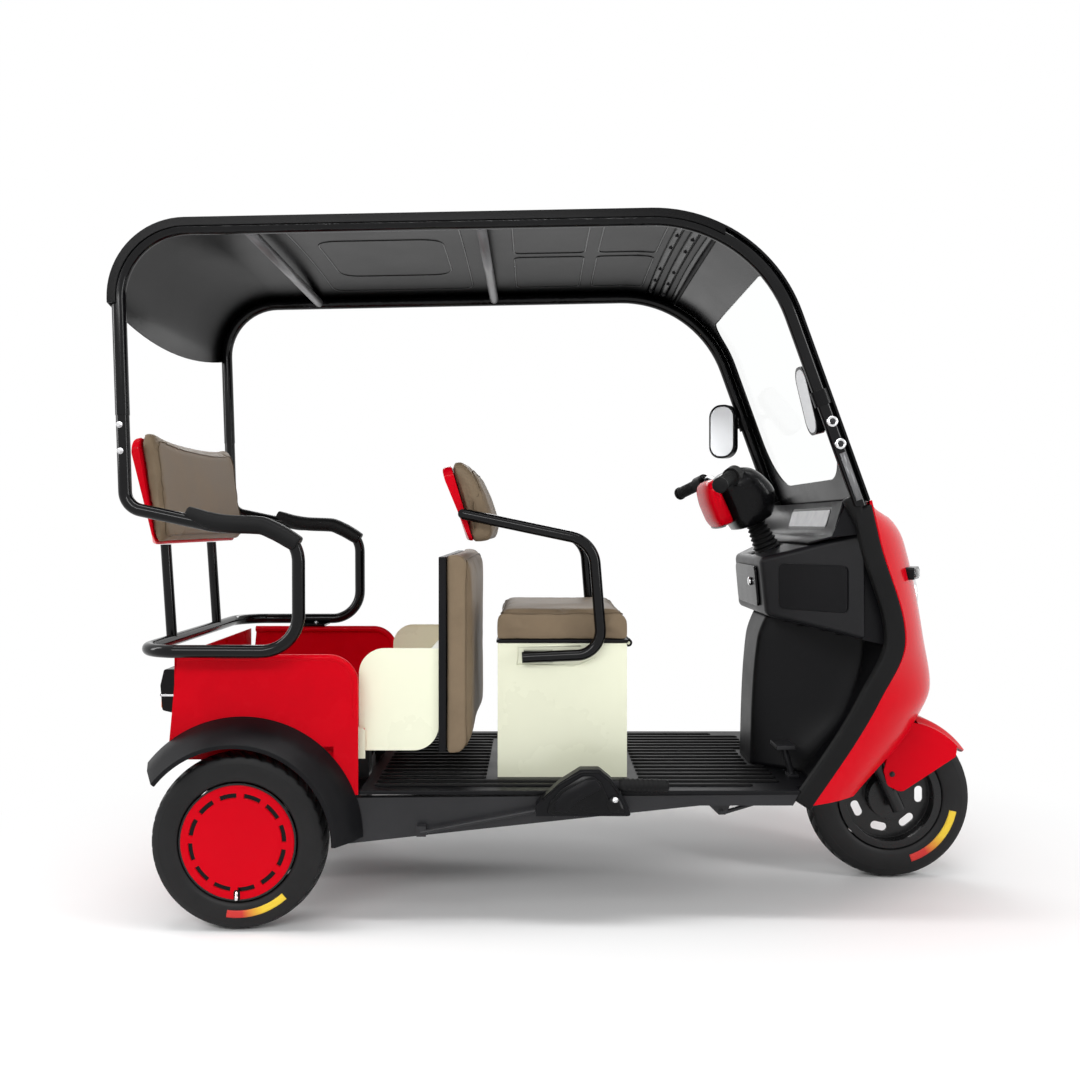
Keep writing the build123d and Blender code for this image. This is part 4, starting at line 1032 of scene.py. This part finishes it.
# Cowl between dash and screen, its ends drawn back
COWL_SPANS, COWL_HALF, COWL_FOOT = 40, 384, 900
COWL_BACK, COWL_BEND = 176, 0.55  # draw of the ends, and the share of the width where it starts
cowl_line = rounded_path([(586, 0, 896), (648, 0, 918), (672, 0, 1000)], [0, 40, 0])
cowl_rows = []
for k in range(-COWL_SPANS, COWL_SPANS + 1):
    t = k / COWL_SPANS
    back = COWL_BACK * max(0.0, abs(t) - COWL_BEND) ** 2
    row = []
    for p in cowl_line:
        half = dash_half(p.x) + (COWL_HALF - dash_half(p.x)) * ease((p.z - COWL_FOOT) / 30)
        row.append((p.x - back * ease((p.z - COWL_FOOT) / 40), t * half, p.z))
    cowl_rows.append(row)
place(thicken(grid("dash_cowl", cowl_rows, PLASTIC), 5, BACKWARD), "chassis", slot="dark_plastic")

# Cheeks beside dash and cowl

def side_panels(name, outline, inner, outer, mat, slot):
    """The same flat plate on both sides, between two distances from the middle."""
    pair = [panel("side", outline, side * inner, side * outer, mat) for side in SIDES]
    place(join(name, pair), "chassis", slot=slot)


side_panels("dash_cheeks", ((684, 673.2), (752, 658), (752, 700), (712, 900), (692, 996), (684, 996)), 359, 363,
            PLASTIC, "dark_plastic")
side_panels("cowl_cheeks", ((604, 914), (676, 922), (676, 992), (648, 996), (634, 984)), COWL_HALF, COWL_HALF + 4,
            PLASTIC, "dark_plastic")

# Instrument and glove box: name, centre, right, up, width, height, corner, depth, material
FACING_BACK = (0, -1, 0)
RAKE, DOOR_RAKE = (0.28, 0, 0.96), (-0.089, 0, 0.996)
GLOVE_X = 592
glove_panels = [(f"glove_panel_{TAGS[side]}", (GLOVE_X, side * (dash_half(GLOVE_X) + 0.5), 790),
                 (-side * DASH_SIDE.x, -DASH_SIDE.y, 0), (0, 0, 1), 190, 112, 16, 3.5, PLASTIC) for side in SIDES]
PLATES = (
    ("instrument_bezel", (661, 0, 958), FACING_BACK, RAKE, 392, 60, 14, 7, GLOSS_PLASTIC),
    ("instrument_face", (654.5, 0, 959), FACING_BACK, RAKE, 372, 44, 10, 1.5, DISPLAY),
    *glove_panels,
    ("glove_door", (493.5, 0, 785), FACING_BACK, DOOR_RAKE, 250, 104, 18, 8, GLOSS_PLASTIC),
)
for row in PLATES:
    place(plate(*row), "chassis", slot="dark_plastic")
lock =lathe("glove_lock", [(0, 0.4), (0, 11), (6, 11), (8, 9), (8, 0.5)], (485, -70, 795), (-0.996, 0, -0.089),
             CHROME, 24)
place(lock, "chassis", slot="steel")

# Corrugated boot on the column
BOOT_FOOT, BOOT_TALL, BOOT_FOLDS, BOOT_STEPS = 724, 84, 7, 42
BOOT_WIDE, BOOT_TAPER, BOOT_CORE, FOLD = 38, 11, 17, 2.4
boot_profile = [(BOOT_FOOT, BOOT_CORE)]
for k in range(BOOT_STEPS + 1):
    t = k / BOOT_STEPS
    boot_profile.append((BOOT_FOOT + BOOT_TALL * t,
                         BOOT_WIDE - BOOT_TAPER * t + FOLD * math.cos(t * 2 * math.pi * BOOT_FOLDS) - FOLD))
boot_profile.append((BOOT_FOOT + BOOT_TALL, BOOT_CORE))
boot = lathe("steer_boot_folds", boot_profile, STEER_FOOT, STEER_AXIS, RUBBER)
place(boot, "steering", "steer_boot", slot="black_rubber")

# Ribs and end flange of the hand grips
for side in SIDES:
    end = Vector((357, side * 330, 1038))
    knee = Vector((423, side * 200, 1076))
    along = (end - knee).normalized()
    root = knee + along * 28
    long = (end - root).length + 7
    ribs = [(36, 15.5)]
    at = 38.0
    while at < long - 14:
        ribs += [(at, 16.2), (at + 0.8, 17.4), (at + 3.2, 17.4), (at + 4.0, 16.2)]
        at += 6.0
    ribs += [(long - 10, 16.2), (long - 8, 19), (long - 1, 19), (long + 2, 16), (long + 2, 3)]
    place(lathe(f"grip_ribs_{TAGS[side]}", ribs, root, along, RUBBER, 32), "steering", slot="black_rubber")

# Handlebar pod and its red cover: distance along the steering axis, rear, front, half width
POD_ROWS = ((812, -34, 24, 52), (819, -62, 44, 80), (850, -66, 64, 91), (880, -66, 75, 92), (920, -66, 64, 92),
            (950, -64, 46, 86), (965, -54, 24, 66), (971, -36, 4, 40))
COVER_ROWS = ((842, -92, -62, 56), (848, -107, -60, 84), (872, -112, -60, 97), (910, -111, -60, 100),
              (946, -104, -60, 97), (962, -96, -62, 82), (969, -86, -66, 58))
POD_COUNT, POD_POWER = 64, 0.62


def axis_body(name, rows, mat):
    """Closed round body through oblong rings square to the steering axis."""
    turns = [2 * math.pi * k / POD_COUNT for k in range(POD_COUNT)]
    rings = [[steer_point(along, (front + rear) / 2 + (front - rear) / 2 * bulge(math.cos(a), POD_POWER),
                          half * bulge(math.sin(a), POD_POWER)) for a in turns]
             for along, rear, front, half in smooth_rows(rows, 44)]
    return stack(name, rings, mat)


place(axis_body("bar_pod_smooth", POD_ROWS, GLOSS_PLASTIC), "steering", "bar_pod", slot="dark_plastic")
place(axis_body("bar_cover_smooth", COVER_ROWS, RED), "steering", "bar_cover", slot="red_paint")
hem_turns = [math.radians(t) for t in range(-84, 85, 6)]
hem = [steer_point(845, -84 - 22 * math.cos(t) ** 0.5, 86 * math.sin(t)) for t in hem_turns]
place(sweep("bar_cover_hem", hem, ring_section(2.4, 8), BOW), "steering", slot="frame_grey")


# Front fender: crowned band with a rounded front edge, narrow tail, side panels over the fork legs

FENDER_HALF, FENDER_SPANS, FENDER_STEPS = 94, 24, 30
FENDER_RADIUS, FENDER_FALL, FENDER_FLAT = 230, 14, 52  # crown radius, fall at the sides, half width of the crown
BAND_FRONT, BAND_ROUND, BAND_END = 31, 12.5, 76  # degrees


def fender_point(y, degrees):
    fall = FENDER_FALL * ease((abs(y) - FENDER_FLAT) / (FENDER_HALF - FENDER_FLAT))
    return wheel_point(FRONT_AXLE, y, FENDER_RADIUS - fall, math.radians(degrees))


band_rows = []
for k in range(-FENDER_SPANS, FENDER_SPANS + 1):
    y = FENDER_HALF * k / FENDER_SPANS
    lead = BAND_FRONT + BAND_ROUND * (abs(y) / FENDER_HALF) ** 2.2
    band_rows.append([fender_point(y, lead + (BAND_END - lead) * i / FENDER_STEPS)
                      for i in range(FENDER_STEPS + 1)])
tail_rows = [[fender_point(y, 75 + 53 * i / FENDER_STEPS) for i in range(FENDER_STEPS + 1)]
             for y in range(-48, 49, 8)]
fender = [thicken(grid("fender", rows, RED), 4, INWARD) for rows in (band_rows, tail_rows)]
low_edge = rounded_path(side_line([(1017, 352), (1014, 337), (872, 244), (836, 262), (826, 300), (852, 404)]),
                        [0, 7, 22, 16, 10, 0], step=6)
arc = [wheel_point(FRONT_AXLE, 0, 214.5, math.radians(a)) for a in range(92, 43, -4)]
outline = [(x, z) for x, y, z in low_edge + arc]
for side in SIDES:
    fender.append(panel("fender_side", outline, side * 90, side * FENDER_HALF, RED))
    fender += bolt((848, side * FENDER_HALF, 292), (0, side, 0), 5.0, FRAME)
fender.append(sweep("fender_stay", [steer_point(along, 16) for along in (226, 250)], rectangle(24, 40), FRAME,
                    up=(0, 1, 0)))
fender = join("front_fender_smooth", fender)
bevel(fender, 1.2, 2, 50)
place(fender, "steering", "front_fender", slot="red_paint")

# Headlamp: chrome bezel, reflector bowl with a projector, and a clear dome
bezel = lathe("headlamp_bezel", [(6, 70), (36, 71), (40, 69), (40, 63), (20, 61), (6, 62)], LAMP_AT, FORWARD,
              CHROME, 64, closed=True)
bowl = lathe("headlamp_bowl", [(-32, 2), (-32, 24), (-15, 46), (10, 60), (22, 61.5), (22, 63), (8, 63), (-18, 49),
                               (-36, 26), (-36, 2)], LAMP_AT, FORWARD, REFLECTOR, 64)
eye = lathe("headlamp_projector", [(-31, 2), (-31, 26), (0, 26), (4, 23), (7, 15), (8, 2)], LAMP_AT, FORWARD,
            LENS_CLEAR)
dome = lathe("headlamp_dome", [(25, 61), (32, 58), (38, 42), (41, 20), (41.5, 1), (39.5, 1), (39, 20), (36, 41),
                               (30, 56), (23, 59)], LAMP_AT, FORWARD, LENS_CLEAR, 64)
place(join("headlamp_unit", [bezel, bowl, eye, dome]), "chassis", "headlamp", slot="lens_clear")

# Floor ribs: Y, X start, X end; they stop at the seat box and at the leg shield
RIB_PITCH, RIB_Z, RIB_TIP = 37.0, 315, 8
RIB_BACK, RIB_FRONT = -470, 512
RIB_SECTION = [(-9, 0), (-8, 3.2), (-6, 4.6), (6, 4.6), (8, 3.2), (9, 0)]
rib_rows = []
for k in range(-8, 9):
    y = k * RIB_PITCH
    if abs(y) > 232:
        rib_rows.append((y, RIB_BACK, RIB_FRONT if abs(y) < 290 else 440))
    else:
        rib_rows += [(y, RIB_BACK, -205), (y, 172, RIB_FRONT if abs(y) > 100 else 472)]
ribs = [sweep("rib", [(x, y, RIB_Z) for x in (start, start + RIB_TIP, end - RIB_TIP, end)], RIB_SECTION,
              RUBBER, scale=[0.55, 1, 1, 0.55]) for y, start, end in rib_rows]
place(join("floor_ribs", ribs), "chassis", slot="dark_plastic")


# Roof lining: grey bow sleeves, pressed lines, front cross bands

UP, DOWN = Vector((0, 0, 1)), Vector((0, 0, -1))
BELOW_ROOF, ABOVE_SCREEN = 1300, 1800  # heights that rays start from
roof_tree = surface_tree(NODES["roof_panel"])


def roof_under(x, y, drop=0.0):
    """Point of the roof's lower face at x and y, lowered by drop."""
    return roof_tree.ray_cast(Vector((x, y, BELOW_ROOF)) * MM, UP)[0] / MM - Vector((0, 0, drop))


sleeves = [lathe("sleeve", [(-392, 11.5), (-392, 12.9), (392, 12.9), (392, 11.5)],
                 (x, 0, 1622 + (x + 1046) * 29 / 1470), (0, 1, 0), BOW, 24) for x in (-751, -210)]
place(join("bow_sleeves", sleeves), "chassis", slot="frame_grey")

# Pressed lines: X from and to, Y from and to, corner radius
PRESSED = ((-690, -270, -330, 330, 40), (-640, -320, -180, 180, 60), (-140, 50, -330, -20, 20),
           (-140, 50, 20, 330, 20), (85, 240, -330, -20, 20), (85, 240, 20, 330, 20))
lines = []
for x0, x1, y0, y1, radius in PRESSED:
    line = rounded_path([(x0, y0, 0), (x1, y0, 0), (x1, y1, 0), (x0, y1, 0)], radius, closed=True, step=8)
    lines.append(sweep("press", [roof_under(p.x, p.y, -0.5) for p in even_steps(line, 30)],
                       ring_section(3.2, 8, 0.8), GLOSS_PLASTIC, closed=True))
place(join("roof_press_lines", lines), "chassis", slot="dark_plastic")

# Front cross bands: X, width, and whether they are bolted
bands = []
for x, wide, bolted in ((268, 22, True), (306, 26, True), (338, 16, False)):
    fall = roof_under(x + 3, 0) - roof_under(x - 3, 0)
    path = [roof_under(x, y, 2) for y in range(-385, 386, 22)]
    section = [(-wide / 2, -2), (wide / 2, -2), (wide / 2, 4), (-wide / 2, 4)]
    bands.append(sweep("band", path, section, GLOSS_PLASTIC, up=(-fall.z, 0, fall.x)))
    for y in (-340, -230, -110, 110, 230, 340) if bolted else ():
        bands += bolt(roof_under(x, y, 4), (fall.z, 0, -fall.x), 4.0, FRAME)
place(join("roof_front_bands", bands), "chassis", slot="dark_plastic")

# Seal between the arched front edge of the roof and the flat screen frame
ROOF_EDGE_X, SCREEN_TOP_X = 345, 356
screen_tree = surface_tree(NODES["screen_frame"])
seal_rows = []
for y in range(-416, 417, 16):
    foot = screen_tree.ray_cast(Vector((SCREEN_TOP_X, y, ABOVE_SCREEN)) * MM, DOWN)[0] / MM
    seal_rows.append([roof_under(ROOF_EDGE_X, y, 0.5), foot])
place(thicken(grid("screen_top_seal", seal_rows, RUBBER), 3), "chassis", slot="black_rubber")

# Ledge between the foot of the screen and the upper edge of the front shell
LEDGE_BACK, LEDGE_Z = 675, 995
ledge_z, rim, half, nose = min(smooth_rows(SHELL_ROWS, SHELL_STEPS), key=lambda row: abs(row[0] - LEDGE_Z))
radius = shell_radius(rim, half, nose)
ledge_rows = [[(LEDGE_BACK, y, ledge_z), (nose - radius + math.sqrt(radius ** 2 - y ** 2) - 4, y, ledge_z)]
              for y in range(-404, 405, 8)]
place(thicken(grid("shell_top_ledge", ledge_rows, PLASTIC), 4), "chassis", slot="dark_plastic")

# Rear seat base: its side walls stand up round an open top
base = welded_copy("rear_base_open", NODES["rear_seat_base"])
base.data.materials.clear()
base.data.materials.append(CREAM)
carve(base, panel("cutter", [(-620, 600), (-334, 600), (-334, 700), (-620, 700)], -290, 290, CREAM))
bevel(base, 2.0, 2, 40)
place(base, "rear_seat", "rear_seat_base", slot="cream")

# Cream caps over the hinge tabs
side_panels("hinge_caps", ((-511, 383), (-491, 383), (-491, 450), (-497, 456), (-511, 456)), 308.4, 310.4, CREAM,
            "cream")

# Arm pads, rear tip raised over the tube and front end drooping: centre X, centre Z, size
PAD_ROWS = ((-884, 974, 0.62), (-862, 964, 0.82), (-830, 952, 0.97), (-786, 945, 1.0), (-717, 942, 1.0),
            (-680, 928, 1.0), (-650, 911, 0.98), (-628, 897, 0.92))
PAD_COUNT, PAD_POWER, PAD_Y = 28, 0.8, 409
pad_turns = [2 * math.pi * k / PAD_COUNT for k in range(PAD_COUNT)]
pad_section = [(bulge(math.cos(a), PAD_POWER) * 22.5, bulge(math.sin(a), PAD_POWER) * 21) for a in pad_turns]
pad_line = smooth_rows(PAD_ROWS, 48)
pad_sizes = [size for x, z, size in pad_line]
pads = [sweep("pad", [(x, side * PAD_Y, z) for x, z, size in pad_line], pad_section, RUBBER, scale=pad_sizes)
        for side in SIDES]
pads = join("arm_pads_shaped", pads)
bevel(pads, 4.0, 3, 50)
place(pads, "chassis", "arm_pads", slot="black_rubber")

# Hand brake: raised plates, bright upper edge, pivot bolt, ribbed grip
BRAKE_Y = -376.5
brake = [
    side_plate("brake_plate", [(-58, 270), (104, 270), (70, 344), (52, 358), (26, 358), (-22, 328), (-50, 296)],
               [8, 8, 10, 10, 12, 14, 12], BRAKE_Y, 4, GLOSS_PLASTIC),
    side_plate("brake_inset", [(-40, 276), (-8, 276), (16, 300), (74, 330), (58, 350), (32, 350), (-16, 322),
                               (-36, 298)], [6, 6, 8, 6, 8, 10, 12, 10], -380, 3.5, PLASTIC),
    side_plate("brake_lug", [(92, 272), (128, 272), (112, 308), (96, 312), (82, 296)], 6, BRAKE_Y, 5,
               GLOSS_PLASTIC),
]
edge_corners = [(-66, 302), (-28, 338), (24, 366), (64, 366), (92, 344), (112, 314)]
edge_line = rounded_path([(x, -376, z) for x, z in edge_corners], [0, 16, 12, 10, 8, 0], step=6)
brake.append(sweep("brake_edge", edge_line, ring_section(2.6, 8), GLOSS_PLASTIC))
brake += bolt((103, -381, 303), (0, -1, 0), 4.5, CHROME)
for x in (-38, 12, 40):
    brake += bolt((x, -365, 263), DOWN, 3.5, FRAME)
grip_rings = [(0, 10), (0, 13.5)]
for start in range(8, 97, 11):
    grip_rings += [(start, 14.6), (start + 4, 16.2), (start + 7, 14.4)]
grip_rings += [(106, 15.6), (114, 14), (118, 9), (119, 2)]
brake.append(lathe("brake_grip", grip_rings, (112, -362, 333.6), (128, 0, -3), RUBBER, 32))
place(join("hand_brake_trim", brake), "chassis", slot="dark_plastic")


# Front posts: two round mirror clamps, silver strip on the outer face, tapered boot at the foot

POST_LEAN = 240.0 / 665.0
CLAMP_RING = [(-2, 1), (-2, 13), (4, 13), (6, 11), (6, 7), (4, 6.5), (4, 1)]
POST_BOOT = [(0, 4), (0, 10), (30, 17), (70, 22), (92, 23.5), (96, 21), (96, 4)]
POST_BOOT_Z = 918


def post_at(z):
    """Centre X of the front posts at height z."""
    return 664.0 - (z - 986.0) * POST_LEAN


posts = []
for side in SIDES:
    outward = (0, side, 0)
    for z in (1128, 1179):
        posts.append(lathe("clamp_ring", CLAMP_RING, (post_at(z), side * 425, z), outward, CHROME, 32))
        posts += bolt((post_at(z), side * 428, z), outward, 4.0, FRAME)
    strip = [(post_at(z) - 2, side * 424.5, z) for z in (1000, 1050, 1108)]
    posts.append(sweep("post_strip", strip, rectangle(14, 3.2), BOW, up=outward))
    posts.append(lathe("post_boot", POST_BOOT, (post_at(POST_BOOT_Z) - 6, side * 392, POST_BOOT_Z),
                       (-POST_LEAN, 0, 1), RUBBER, 32))
place(join("post_fittings", posts), "chassis", slot="black_rubber")

# Tail lamps: dark red upper lens, amber lower lens, silver strip between. Lens: X, low Z, high Z, lean, material
TAIL_Y, STRIP_Z = 284, 536
TAIL_LENSES = ((-972.5, 541, 592, 0.12, LENS_RED), (-976.0, 504, 531, 0.0, LENS_AMBER))
lenses = []
for side in SIDES:
    for x, low, high, lean, mat in TAIL_LENSES:
        middle = (x, side * TAIL_Y, (low + high) / 2)
        lenses.append(plate("lens", middle, FACING_BACK, (lean, 0, 1), 58, high - low, 6, 3, mat))
    lenses.append(plate("lamp_strip", (-978.5, side * TAIL_Y, STRIP_Z), FACING_BACK, UP, 69, 5, 2, 2, CHROME))
    for edge in (250, 318):
        right = FORWARD if side * (edge - TAIL_Y) < 0 else BACKWARD
        lenses.append(plate("lamp_strip", (-961, side * edge, STRIP_Z), right, UP, 32, 5, 2, 1.5, CHROME))
place(join("tail_lamp_lenses", lenses), "chassis", slot="lens_red")

# Clear tips of the front signals
signals = []
for side in SIDES:
    out = Vector((0.882, side * 0.471, 0))
    tip = Vector((829, side * 273, 826)) + out * 15
    signals.append(plate("signal_lens", tip, UP.cross(out), UP, 70, 20, 6, 3, LENS_CLEAR))
place(join("signal_lenses", signals), "chassis", slot="lens_clear")

# Stand bracket under the sill
STAND_LINE = ((327, 277), (345, 259), (356, 249), (372, 249), (379, 262), (386, 277))
stand = [panel("stand_plate", STAND_LINE, -302, -312, FRAME),
         sweep("stand_rod", [(372, -307, 254), (456, -307, 279)], ring_section(5), FRAME)]
stand += bolt((362, -312, 257), (0, -1, 0), 4.0, FRAME)
place(join("stand_bracket", stand), "chassis", slot="frame_grey")

# Border of the recess in the seat box's sides
RECESS_Y = 215.2
RECESS_LINES = (side_line([(-128, 594), (-126, 640), (30, 642)]),
                rounded_path(side_line([(-128, 596), (20, 592), (66, 612)]), [0, 60, 0]))
recess = [sweep("recess", [(x, side * RECESS_Y, z) for x, y, z in line], ring_section(2.0, 8), CREAM)
          for line in RECESS_LINES for side in SIDES]
place(join("seat_box_recess", recess), "chassis", slot="cream")

# Wheel valves
VALVE_STEM = [(0, 0.5), (0, 3.5), (11, 3.5), (12, 4.5), (20, 4.2), (21, 0.5)]
for side, hand in ((1, "left"), (-1, "right")):
    face_y = cover_faces(f"wheel_cover_{hand}", side)[0] - side * 3.2
    slot_at, stem_at = (REAR_AXLE[0], face_y, 84), (REAR_AXLE[0], face_y + side * 1.5, 94)
    valve = [plate("valve_slot", slot_at, (-side, 0, 0), UP, 15, 25, 6, 0.8, GLOSS_PLASTIC),
             lathe("valve_stem", VALVE_STEM, stem_at, (0, side * 0.15, -1), CHROME, 20)]
    place(join(f"wheel_valve_{hand}", valve), f"rear_wheel_{hand}", slot="black_rubber")

# Fasteners: place, direction out of the surface, head radius
FASTENERS = (
    ((-1033, -425, 1172), (0, -1, 0), 5), ((-1031, -425, 1112), (0, -1, 0), 5),
    ((-1033, 425, 1172), (0, 1, 0), 5), ((-1031, 425, 1112), (0, 1, 0), 5),
    ((-521, -342, 245), (0, -1, 0), 8), ((-521, 342, 245), (0, 1, 0), 8),
    ((-760, -400, 641), (0, 0, 1), 5), ((-760, 400, 641), (0, 0, 1), 5),
)
heads = []
for at, axis, radius in FASTENERS:
    heads += bolt(at, axis, radius)
place(join("frame_bolts", heads), "chassis", slot="steel")
